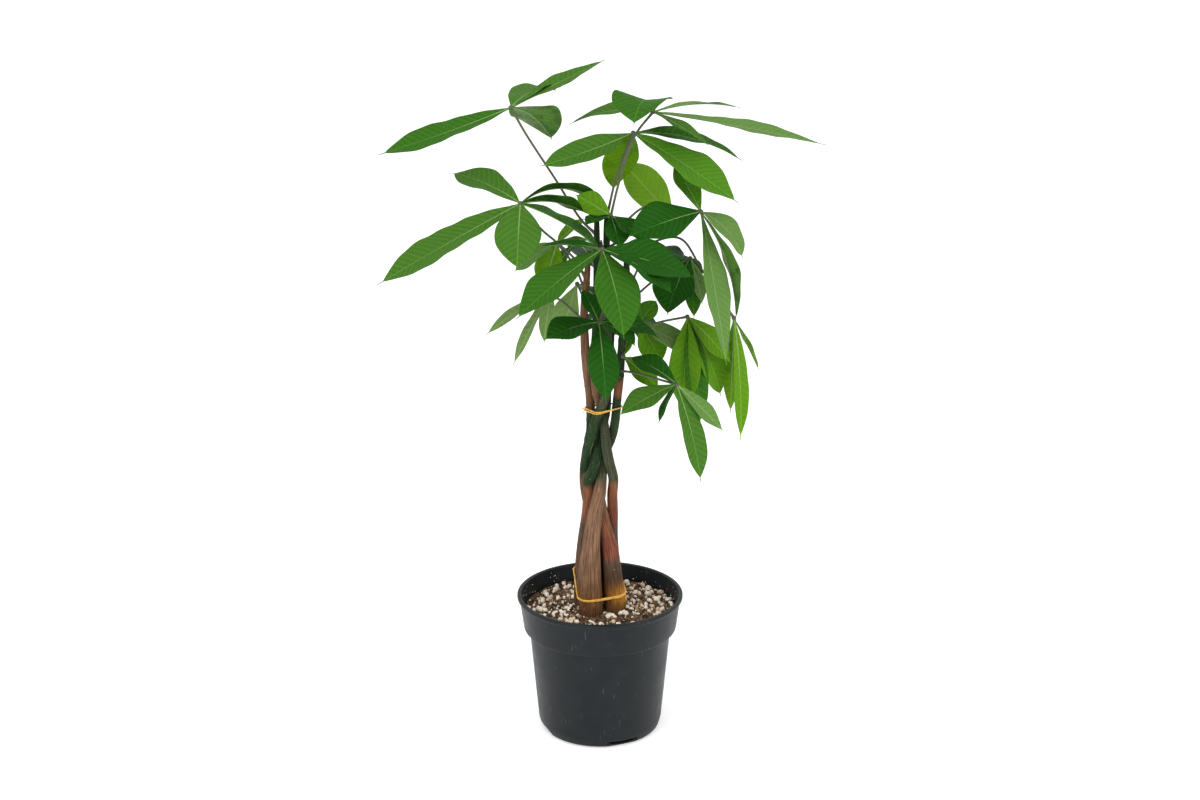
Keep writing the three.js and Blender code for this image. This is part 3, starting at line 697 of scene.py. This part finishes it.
def plastic_finish():
    """Moulded charcoal plastic: dull, faintly mottled, with dust and small scuffs."""
    finish = Finish("pot_plastic", Specular_IOR_Level=0.19)
    mottle = finish.noise(45, 4, 0.55)
    dust = finish.ramp(finish.cells(230), 0.03, 0.09, 1, 0)
    dust = finish.times(dust, finish.ramp(finish.noise(60, 2), 0.52, 0.68))
    scuffs = finish.ramp(finish.noise((520, 520, 60), 4, 0.6), 0.6, 0.7)
    scuffs = finish.times(scuffs, finish.ramp(mottle, 0.48, 0.62, 0, 0.7))
    finish.paint((0.0055, 0.008, 0.0095))
    finish.paint((0.0085, 0.0112, 0.013), mottle, 0.35, 0.65)
    finish.paint((0.18, 0.165, 0.145), finish.times(dust, 0.35))
    finish.paint((0.07, 0.075, 0.08), scuffs)
    rough = finish.math("ADD", finish.ramp(mottle, 0.3, 0.7, 0.38, 0.5), finish.times(dust, 0.2))
    finish.surface("Roughness", rough)
    finish.bump(finish.noise(1400, 3), 0.035)
    finish.bump(mottle, 0.25)
    return finish


def soil_finish():
    """Moist peat: warm brown on the crumbs, and nearly black in the hollows between them, which is painted
    shade.
    """
    finish = Finish("soil", Roughness=0.95, Specular_IOR_Level=0.2)
    crumbs = finish.noise(330, 6, 0.65)
    grit = finish.cells(520)
    # near black, left showing in the low hollows of the crumbs' relief: painted shade
    finish.paint((0.02, 0.012, 0.008))
    finish.paint((0.215, 0.125, 0.07), crumbs, 0.38, 0.62)
    finish.paint((0.3, 0.195, 0.12), grit, 0.12, 0.3, 0.55, 0)
    finish.bump(grit, 0.8)
    finish.bump(crumbs, 1.6)
    return finish


def perlite_finish():
    """Puffed white grains, some clean and some stained by the peat."""
    finish = Finish("perlite", Roughness=0.85, Specular_IOR_Level=0.3)
    pits = finish.noise(900, 5, 0.65)
    finish.paint((0.98, 0.92, 0.79))
    finish.paint((0.78, 0.6, 0.4), finish.attribute("shade"), 0.35, 1)
    finish.paint((0.27, 0.17, 0.11), pits, 0.36, 0.55, 0.55, 0)
    finish.bump(pits, 0.5)
    return finish


def chip_finish():
    """Bark chips and peat crumbs, from dark brown to tan."""
    finish = Finish("bark_chips", Roughness=0.9, Specular_IOR_Level=0.25)
    fibre = finish.noise((300, 1200, 1200), 5, 0.6)
    finish.paint((0.06, 0.032, 0.019))
    finish.paint((0.46, 0.29, 0.16), finish.attribute("shade"), 0.25, 0.95)
    finish.paint((0.03, 0.017, 0.012), fibre, 0.4, 0.6, 0.6, 0)
    finish.bump(fibre, 0.4)
    return finish


# ---- pot


def rounded(outline, reach):
    """The outline with each inner corner turned into a short curve that starts `reach` before it."""
    smooth = [outline[0]]
    for before, corner, after in zip(outline, outline[1:], outline[2:]):
        arms = [np.subtract(end, corner) for end in (before, after)]
        ends = [corner + arm * min(0.45, reach / np.linalg.norm(arm)) for arm in arms]
        for t in np.linspace(0, 1, CORNER_STEPS):
            smooth.append((1 - t) ** 2 * ends[0] + 2 * t * (1 - t) * np.array(corner) + t**2 * ends[1])
    return np.array([*smooth, outline[-1]], float)


def lathe(outline, sides):
    """A closed body turned about Z from an outline of (radius, height), with both ends on the axis."""
    angles = round_angles(sides)
    ring = np.column_stack([np.cos(angles), np.sin(angles)])
    inner = outline[1:-1]
    points = [np.column_stack([radius * ring, np.full(sides, height)]) for radius, height in inner]
    points.append([(0, 0, outline[0][1]), (0, 0, outline[-1][1])])
    faces = grid_faces(len(inner), sides, wrap_columns=True)
    bottom = len(inner) * sides
    for j in range(sides):
        k = (j + 1) % sides
        faces.append((bottom, k, j))
        faces.append((bottom + 1, bottom - sides + j, bottom - sides + k))
    return np.vstack(points), faces


def pot_outline():
    """Half the pot's section: out along its underside, up the outside, and back down the inside."""
    return [
        (0, 0), (POT_FOOT_RADIUS, 0), (POT_BASE_RADIUS - 2.2, 1.6), (POT_BASE_RADIUS, POT_ROUNDING),
        (POT_BODY_RADIUS, COLLAR_UNDER_INNER), (POT_COLLAR_FOOT_RADIUS - 0.3, COLLAR_UNDER_OUTER),
        (POT_COLLAR_RADIUS, POT_HEIGHT - 5),
        (POT_LIP_RADIUS, POT_HEIGHT - POT_LIP_HEIGHT), (POT_LIP_RADIUS, POT_HEIGHT),
        (POT_COLLAR_RADIUS - POT_WALL, POT_HEIGHT), (POT_COLLAR_FOOT_RADIUS - POT_WALL, POT_COLLAR_FOOT),
        (POT_BODY_RADIUS - POT_WALL, COLLAR_UNDER_INNER), (POT_BASE_RADIUS - POT_WALL, POT_ROUNDING + 2),
        (POT_BASE_RADIUS - 4, POT_FLOOR), (0, POT_FLOOR),
    ]


def cut_drains(pot):
    """Cuts the drain slots out of the foot of the pot."""
    shape = bmesh.new()
    for i in range(DRAIN_COUNT):
        turn = Matrix.Rotation(math.radians(DRAIN_FIRST + 360 * i / DRAIN_COUNT), 4, "Z")
        size = Matrix.Diagonal((DRAIN_CUT * MM, DRAIN_WIDTH * MM, 2 * DRAIN_HEIGHT * MM, 1))
        place = Matrix.Translation(((DRAIN_END_RADIUS + DRAIN_CUT / 2) * MM, 0, 0))
        bmesh.ops.create_cube(shape, size=1, matrix=turn @ place @ size)
    cutter_mesh = bpy.data.meshes.new("drains")
    shape.to_mesh(cutter_mesh)
    shape.free()
    cutter = add_object("drains", cutter_mesh)
    cut = pot.modifiers.new("drains", "BOOLEAN")
    cut.operation = "DIFFERENCE"
    cut.solver = "EXACT"
    cut.object = cutter
    apply_modifiers(pot)
    bpy.data.objects.remove(cutter)
    pot.data.set_sharp_from_angle(angle=math.radians(POT_SHARP_ANGLE))


def apply_modifiers(piece):
    """Swaps the piece's mesh for the one its modifiers make."""
    shown = piece.evaluated_get(bpy.context.evaluated_depsgraph_get())
    piece.data = bpy.data.meshes.new_from_object(shown)
    piece.modifiers.clear()


def make_pot():
    points, faces = lathe(rounded(pot_outline(), POT_CORNER), POT_SIDES)
    pot = make_piece("nursery_pot", [(points, faces, 0, {})], [plastic_finish()], ["pot"])
    cut_drains(pot)


# ---- soil


def soil_height(radius):
    return SOIL_TOP + SOIL_SWELL * np.exp(-((radius / SOIL_SWELL_RADIUS) ** 2))


def soil_edge():
    """The pot's inner radius at the soil's top."""
    share = (SOIL_TOP - POT_WALL_FOOT) / (POT_WALL_TOP - POT_WALL_FOOT)
    return POT_COLLAR_FOOT_RADIUS + share * (POT_COLLAR_RADIUS - POT_COLLAR_FOOT_RADIUS) - POT_WALL


def lumps(x, y):
    """The soil's unevenness at a point, in millimetres."""
    coarse = noise.noise(Vector((x * 0.09, y * 0.09, 3)))
    fine = noise.noise(Vector((x * 0.33, y * 0.33, 8)))
    return SOIL_ROUGHNESS * (coarse + 0.55 * fine)


def soil_bed():
    """A closed body: a lumpy top, and plain sides down to the pot's floor."""
    edge = soil_edge() - 0.4
    body = POT_BODY_RADIUS - POT_WALL - 0.5
    foot = POT_BASE_RADIUS - POT_WALL - 1.5
    rings = [
        (POT_FOOT_RADIUS - 4, POT_FLOOR + 0.3), (foot, POT_ROUNDING + 2), (body, COLLAR_UNDER_INNER),
        (POT_COLLAR_FOOT_RADIUS - POT_WALL - 0.7, POT_COLLAR_FOOT + 0.6),
    ]
    rings += [(radius, soil_height(radius)) for radius in np.linspace(edge, 0.6, SOIL_RINGS)]
    outline = np.array([(0, POT_FLOOR + 0.3), *rings, (0, soil_height(0))])
    points, faces = lathe(outline, SOIL_SPOKES)
    for point in points:
        if point[2] > SOIL_TOP - 1:
            point[2] += lumps(point[0], point[1])
    return points, faces


def on_soil(count, reach):
    """Places spread over the soil, clear of the trunks: rows of (x, y, z)."""
    feet = [smooth_path(points[:3], 40)[20] for points in TRUNKS]  # each trunk near the soil's top
    places = []
    while len(places) < count:
        radius = reach * math.sqrt(random.random())
        angle = random.uniform(0, 2 * math.pi)
        x, y = polar(radius, angle)
        if all(math.hypot(x - foot[0], y - foot[1]) > foot[3] - 1 for foot in feet):
            places.append((x, y, soil_height(radius) + lumps(x, y)))
    return places


def random_turn():
    """A random rotation matrix."""
    turn, _ = np.linalg.qr(random.normal(size=(3, 3)))
    return turn


def mostly_small(count, smallest, spread):
    """Random radii, most of them near the smallest."""
    return smallest + spread * random.random(count) ** 2


def scatter(places, sizes, shape, lump, detail, sink):
    """One part of grains: each has a size, its own proportions near `shape`, a turn and a shade."""
    points, faces, shades = [], [], []
    for place, size in zip(places, sizes):
        radii = size * np.array(shape) * random.uniform(0.75, 1.25, 3)
        grain, corners, *_ = ball((0, 0, 0), radii, random_turn(), detail, lump)
        grain = grain + np.array(place) + (0, 0, size * sink)
        start = len(points) * len(grain)
        points.append(grain)
        faces += [tuple(start + corner for corner in face) for face in corners]
        shades.append(np.full(len(grain), random.random()))
    return np.vstack(points), faces, 0, {"shade": np.concatenate(shades)}


def on_wall(count):
    """Places on the pot's inner wall, above the soil and most of them low down."""
    places = []
    for _ in range(count):
        angle = random.uniform(0, 2 * math.pi)
        share = random.random() ** 1.6
        z = SOIL_TOP + 2 + share * (POT_HEIGHT - 5 - SOIL_TOP)
        radius = soil_edge() + (z - SOIL_TOP) * WALL_LEAN
        places.append(polar(radius, angle, z))
    return places


def make_soil():
    reach = soil_edge() - 2.5
    bed = make_piece("soil_bed", [(*soil_bed(), 0, {})], [soil_finish()], ["soil"])
    sizes = mostly_small(PERLITE_COUNT, *PERLITE_RADII)
    grains = scatter(on_soil(PERLITE_COUNT, reach), sizes, PERLITE_SHAPE, lump=0.07, detail=2, sink=0.35)
    places = on_wall(CRUMB_COUNT)
    sizes = random.uniform(*CRUMB_RADII, CRUMB_COUNT)
    crumbs = scatter(places, sizes, (1, 1, 1), lump=0.1, detail=1, sink=0)
    perlite = make_piece("perlite", [grains, crumbs], [perlite_finish()], ["soil"])
    sizes = mostly_small(CHIP_COUNT, *CHIP_RADII)
    bits = scatter(on_soil(CHIP_COUNT, reach), sizes, CHIP_SHAPE, lump=0.1, detail=1, sink=0.25)
    chips = make_piece("bark_chips", [bits], [chip_finish()], ["soil"], sharp=35)


# ---- trunks and ties


def trunk_at(points, z):
    """The middle of a trunk and its radius at a height: (x, y, radius)."""
    heights = [point[2] for point in points]
    return tuple(np.interp(z, heights, [point[n] for point in points]) for n in (0, 1, 3))


def tie_height(tie, x, y):
    """A tie climbs evenly from left to right, and may rise on the left side behind the front trunk."""
    behind = min(max((y - TIE_RISE_START) / TIE_RISE_REACH, 0), 1)
    left = min(max(-x / TIE_RISE_SIDE, 0), 1)
    return tie["z"] + tie["climb"] * x + tie["rise"] * behind * left


def trunk_relief(seed, path, angles):
    """How far the bark stands out from a smooth tube, for each point of the path and side."""
    relief = np.zeros((len(path), len(angles)))
    for i, (row, along) in enumerate(zip(path, distances(path))):
        from_scar = (along + 13 * seed) % SCAR_SPACING - SCAR_SPACING / 2
        scar = np.exp(-((from_scar / SCAR_LENGTH) ** 2)) * np.clip((row[2] - SCAR_START) / SCAR_FADE, 0, 1)
        for j, angle in enumerate(angles):
            side = Vector(polar(1, angle, 0))
            lump = noise.noise(side * 1.1 + Vector((0, seed * 9, along * 0.035)))
            groove = noise.noise(side * 4.5 + Vector((0, seed * 9, along * 0.018)))
            bead = noise.noise(side * 2.0 + Vector((seed * 5, 0, along * 0.25)))
            relief[i, j] = row[3] * (0.05 * lump + 0.035 * groove) + 0.12 * bead
        relief[i] += SCAR_HEIGHT * scar
    return relief


def bark_looks(skin, path, number, tones):
    """The bark's attributes at each of its points: place in the grain, tone, pores and dye."""
    grain = np.array([
        polar(GRAIN_RADIUS, angle, along + 200 * number)
        for along in distances(path) for angle in round_angles(TRUNK_SIDES)
    ])
    heights, names = zip(*tones)
    shades = np.array([BARK_TONES[name] for name in names])
    green = np.array([name in ("green", "moss") for name in names], float)
    lower = [tie_height(TIE_LOWER, x, y) for x, y, _ in skin]
    sideways = np.clip((skin[:, 0] - 2) / 20, 0.15, 1)  # the dye is strongest on the right
    return {
        "grain": grain,
        "tone": np.column_stack([np.interp(skin[:, 2], heights, shade) for shade in shades.T]),
        "pores": 0.1 + 0.3 * np.interp(skin[:, 2], heights, green),
        "stain": sideways * np.exp(-(((skin[:, 2] - lower) / STAIN_REACH) ** 2)),
    }


def make_trunks():
    bark = bark_finish()
    for number, (points, tones) in enumerate(zip(TRUNKS, BARK), 1):
        path = smooth_path(points, TRUNK_STEPS)
        radii = path[:, 3:4] + trunk_relief(number, path, round_angles(TRUNK_SIDES))
        radii[-TRUNK_END_STEPS:] *= np.sqrt(np.linspace(1, 0.1, TRUNK_END_STEPS))[:, None]
        skin, faces, *_ = sweep(path[:, :3], radii, TRUNK_SIDES)
        looks = bark_looks(skin, path, number, tones)
        name = f"trunk_{number}"
        stem = make_piece(f"{name}_bark", [(skin, faces, 0, looks)], [bark], [name])


def tie_route(tie):
    """The ring that a tie takes round the bundle: rows of (x, y, z)."""
    rim = []
    for points in TRUNKS:
        level = trunk_at(points, tie["z"])
        x, y, radius = trunk_at(points, tie_height(tie, level[0], level[1]))
        for angle in round_angles(32):
            right, back = polar(radius + TIE_OUT, angle)
            rim.append(Vector((x + right, y + back)))
    hull = [rim[i] for i in convex_hull_2d(rim)]
    return smooth_path([(x, y, tie_height(tie, x, y)) for x, y in hull], TIE_STEPS, closed=True)


def strand(route, radius, lift, phase):
    """A loop of fibre that follows a route, twisted and slightly uneven."""
    turn = round_angles(len(route))
    path = route + np.column_stack([np.zeros((len(route), 2)), lift * np.sin(turn / 2 + phase) ** 2])
    radii = radius * (1 + 0.12 * np.sin(11 * turn + phase) + 0.08 * np.sin(29 * turn))
    return sweep(path, radii, 10, closed=True)


def knot(centre, tails):
    """A small tight knot with its loose ends."""
    parts = [ball(centre, (1.5, 1.2, 1.3), lumps=0.04)]
    for tail in tails:
        path = smooth_path([centre, *tail], 14)
        parts.append(sweep(path, np.linspace(0.45, 0.3, len(path)), 8))
    return parts


# Each tie's strands are (drop, radius, lift, phase). Its knot sits where it reaches farthest towards
# `knot`, and each loose end goes through two points that are counted from the knot.
TIES = {
    "tie_upper": {
        "route": TIE_UPPER, "strands": [(0, 0.62, 1.5, 2.2), (0.6, 0.55, 0.9, 0.4)], "knot": (-1, 0),
        "tails": [[(-2.0, -1.5, 1.6), (-3.2, -3.2, 0.4)], [(-1.2, -2.2, -2), (-0.8, -3.4, -4.2)]],
    },
    "tie_lower": {
        "route": TIE_LOWER, "strands": [(0, 0.75, 0.7, 1.0), (0.9, 0.6, 0.5, 2.0)], "knot": (1, -0.4),
        "tails": [[(0.6, -0.8, -3), (0.4, -1.2, -7)], [(1.4, 0, -2), (2.2, 0.4, -5)]],
    },
}


def make_ties():
    raffia = raffia_finish()
    for name, tie in TIES.items():
        route = tie_route(tie["route"])
        centre = route[np.argmax(route[:, :2] @ tie["knot"])]
        parts = [strand(route - (0, 0, drop), *twist) for drop, *twist in tie["strands"]]
        parts += knot(centre, [centre + tail for tail in tie["tails"]])
        ring = make_piece(f"{name}_raffia", parts, [raffia], [name])


# ---- leaves


def half_width(share, width):
    """Half a leaflet's width at a share of its length: widest past the middle, with a drawn-out tip."""
    body = np.sin(np.pi * np.minimum(share / TAIL_START, 1) ** 1.25) ** 0.82
    least = TIP_HALF_WIDTH + (BASE_HALF_WIDTH - TIP_HALF_WIDTH) * (1 - share) ** 0.6
    return np.maximum(least, width / 2 * body)


class Leaflet:
    """One leaflet: its midrib is an arc from the hub, and its blade a shallow trough about it."""

    def __init__(self, hub, heading, pitch, length, droop, width, roll=0):
        h, p, r = (math.radians(angle) for angle in (heading, pitch, roll))
        self.hub, self.heading, self.length, self.width = np.array(hub, float), heading, length, width
        self.along = np.array((math.cos(h) * math.cos(p), math.sin(h) * math.cos(p), math.sin(p)))
        level = np.array((-math.sin(h), math.cos(h), 0))
        self.side = level * math.cos(r) + np.cross(self.along, level) * math.sin(r)
        self.up = np.cross(self.along, self.side)
        self.bend = math.radians(droop or 1)  # an arc is never quite straight

    def midrib(self, share):
        """Points on the midrib and the directions out of the blade there, for shares of its length."""
        radius = self.length / (2 * math.sin(self.bend / 2))
        turn = self.bend * (share - 0.5)
        rise = radius * (np.cos(turn) - math.cos(self.bend / 2))
        out = np.outer(np.cos(turn), self.up) + np.outer(np.sin(turn), self.along)
        run = self.length / 2 + radius * np.sin(turn)
        return self.hub + np.outer(run, self.along) + np.outer(rise, self.up), out

    def vein_phase(self, share, across, reach):
        """Rises by one from each side vein to the next, and is a whole number and a half on a vein."""
        distance = np.abs(reach)
        start = share * self.length - VEIN_LEAN * distance - VEIN_CURVE * distance**2
        places = zip(start.ravel() * VEIN_NOISE[0], reach.ravel() * VEIN_NOISE[1])
        wander = [noise.noise(Vector((a, b, self.heading))) for a, b in places]
        wander = VEIN_WANDER * np.reshape(wander, start.shape)
        return start / VEIN_SPACING + VEIN_STAGGER * (across > 0) + wander

    def waves(self, share, across):
        """How far the folded and rippled blade stands above its midrib, by half width."""
        slow = np.sin(9 * share + self.heading) * across * BLADE_WAVE
        quick = np.sin(2 * np.pi * share * self.length / RIPPLE_LENGTH + 2 * across + self.heading)
        return BLADE_FOLD * np.abs(across) ** 1.2 + slow + EDGE_RIPPLE * quick * np.abs(across) ** 3

    def blade(self):
        """The blade's middle surface, with its own coordinates for the veins."""
        rows = math.ceil(self.length / BLADE_ROW)
        share = np.linspace(0, 1, rows + 1)[:, None]
        across = np.linspace(-1, 1, BLADE_CELLS + 1)
        spine, out = self.midrib(share[:, 0])
        half = half_width(share, self.width)
        reach = across * half
        distance = np.abs(reach)
        edge = np.broadcast_to(np.abs(across), distance.shape)
        phase = self.vein_phase(share, across, reach)
        swell = 0.5 + 0.5 * np.cos(2 * np.pi * phase)  # nothing on a vein
        lift = half * self.waves(share, across)
        lift = lift + QUILT_HEIGHT * swell * np.clip(distance / 4, 0, 1) * (1 - edge**8)
        points = spine[:, None] + self.side * reach[..., None] + out[:, None] * lift[..., None]
        looks = {
            "blade": np.stack([phase, distance, edge], axis=-1).reshape(-1, 3),
            "shade": np.full(phase.size, random.random()),
            "tip": np.repeat(share, BLADE_CELLS + 1),
        }
        return points.reshape(-1, 3), grid_faces(rows + 1, BLADE_CELLS + 1), looks

    def rib(self):
        """The raised midrib under the blade, thick at the hub and gone before the tip."""
        share = np.linspace(0, RIB_END, 30)
        spine, out = self.midrib(share)
        radii = RIB_RADIUS * (1 - share) ** 0.8 + 0.12
        return sweep(spine - out * (BLADE_THICKNESS / 2), radii, 8, number=1)


def stalk_parts(leaf):
    """The stalk, swollen at both ends, and the knob where the leaflets meet."""
    x, y, _ = trunk_at(TRUNKS[leaf.trunk], leaf.at)
    path = smooth_path([(x, y, leaf.at), *leaf.via, leaf.hub], STALK_STEPS)
    share = np.linspace(0, 1, len(path))
    radii = STALK_RADIUS + (STALK_FOOT_RADIUS - STALK_RADIUS) * np.exp(-share / 0.08)
    radii = radii + 0.5 * np.exp(-(1 - share) / 0.05)
    return [sweep(path, radii, 12), ball(leaf.hub, KNOB_RADIUS, lumps=0.03)]


def make_leaves():
    stalk, rib = stalk_finish(), rib_finish()
    finishes = {tone: [blade_top(tone), blade_under(tone)] for tone in TONES}
    for number, leaf in enumerate(LEAVES, 1):
        name = f"leaf_{number:02d}"
        leaflets = [Leaflet(leaf.hub, *row) for row in leaf.leaflets]
        tones = leaf.tone.split() * len(leaflets)  # so that a single name serves them all
        used = sorted(set(tones[:len(leaflets)]))
        blade_finishes = [finish for tone in used for finish in finishes[tone]]
        parts = []
        for leaflet, tone in zip(leaflets, tones):
            points, faces, looks = leaflet.blade()
            parts.append((points, faces, 2 * used.index(tone), looks))
        blades = make_piece(f"{name}_blades", parts, blade_finishes, [name])
        thicken = blades.modifiers.new("thickness", "SOLIDIFY")
        thicken.thickness = BLADE_THICKNESS * MM
        thicken.offset = 0
        thicken.material_offset = 1
        apply_modifiers(blades)
        parts = stalk_parts(leaf) + [leaflet.rib() for leaflet in leaflets]
        stalks = make_piece(f"{name}_stalk", parts, [stalk, rib], [name])


# ---- stage, in metres

FLOOR_SIZE = 60  # reaches past the top of the picture
EYE_DISTANCE = 1.4885
EYE_HEIGHT = 0.774
EYE_DIP = 16.24  # degrees below the horizon
LENS = 48.3
SENSOR_WIDTH = 36
LIGHT_TARGET = (0, 0, 0.35)


def make_floor():
    corners = FLOOR_SIZE / 2 * np.array([(-1, -1, 0), (1, -1, 0), (1, 1, 0), (-1, 1, 0)])
    mesh = bpy.data.meshes.new("floor")
    mesh.from_pydata(corners, [], [(0, 1, 2, 3)])
    paper = Finish("white_paper", Roughness=0.9, Specular_IOR_Level=0.1)
    paper.paint((0.93, 0.93, 0.93))
    paper.surface("Emission Color", (1, 1, 1))
    paper.surface("Emission Strength", 0.3)  # keeps the shadow on it light
    mesh.materials.append(paper.material)
    add_object("floor", mesh)


def make_light(name, place, size, power):
    lamp = bpy.data.lights.new(name, "AREA")
    lamp.shape = "DISK"
    lamp.size = size
    lamp.energy = power
    light = add_object(name, lamp)
    light.location = place
    light.rotation_euler = (Vector(LIGHT_TARGET) - Vector(place)).to_track_quat("-Z", "Y").to_euler()


def make_studio():
    """Soft light from all round, with a large softbox above and one on each side."""
    world = bpy.data.worlds.new("studio")
    world.use_nodes = True
    sky = world.node_tree.nodes["Background"]
    sky.inputs["Color"].default_value = (1, 1, 1, 1)
    sky.inputs["Strength"].default_value = 1.0
    bpy.context.scene.world = world
    make_light("top_softbox", (-0.5, -0.9, 2.6), 1.6, 8)
    make_light("left_softbox", (-1.6, -2.0, 1.4), 1.2, 21)
    make_light("right_softbox", (2.0, -1.6, 1.0), 1.4, 19)
    bpy.context.scene.view_settings.view_transform = "Standard"


def make_camera():
    lens = bpy.data.cameras.new("camera")
    lens.lens = LENS
    lens.sensor_width = SENSOR_WIDTH
    camera = add_object("camera", lens)
    camera.location = (0, -EYE_DISTANCE, EYE_HEIGHT)
    camera.rotation_euler = (math.radians(90 - EYE_DIP), 0, 0)
    bpy.context.scene.camera = camera


make_camera()
make_studio()
make_floor()
make_pot()
make_soil()
make_trunks()
make_ties()
make_leaves()
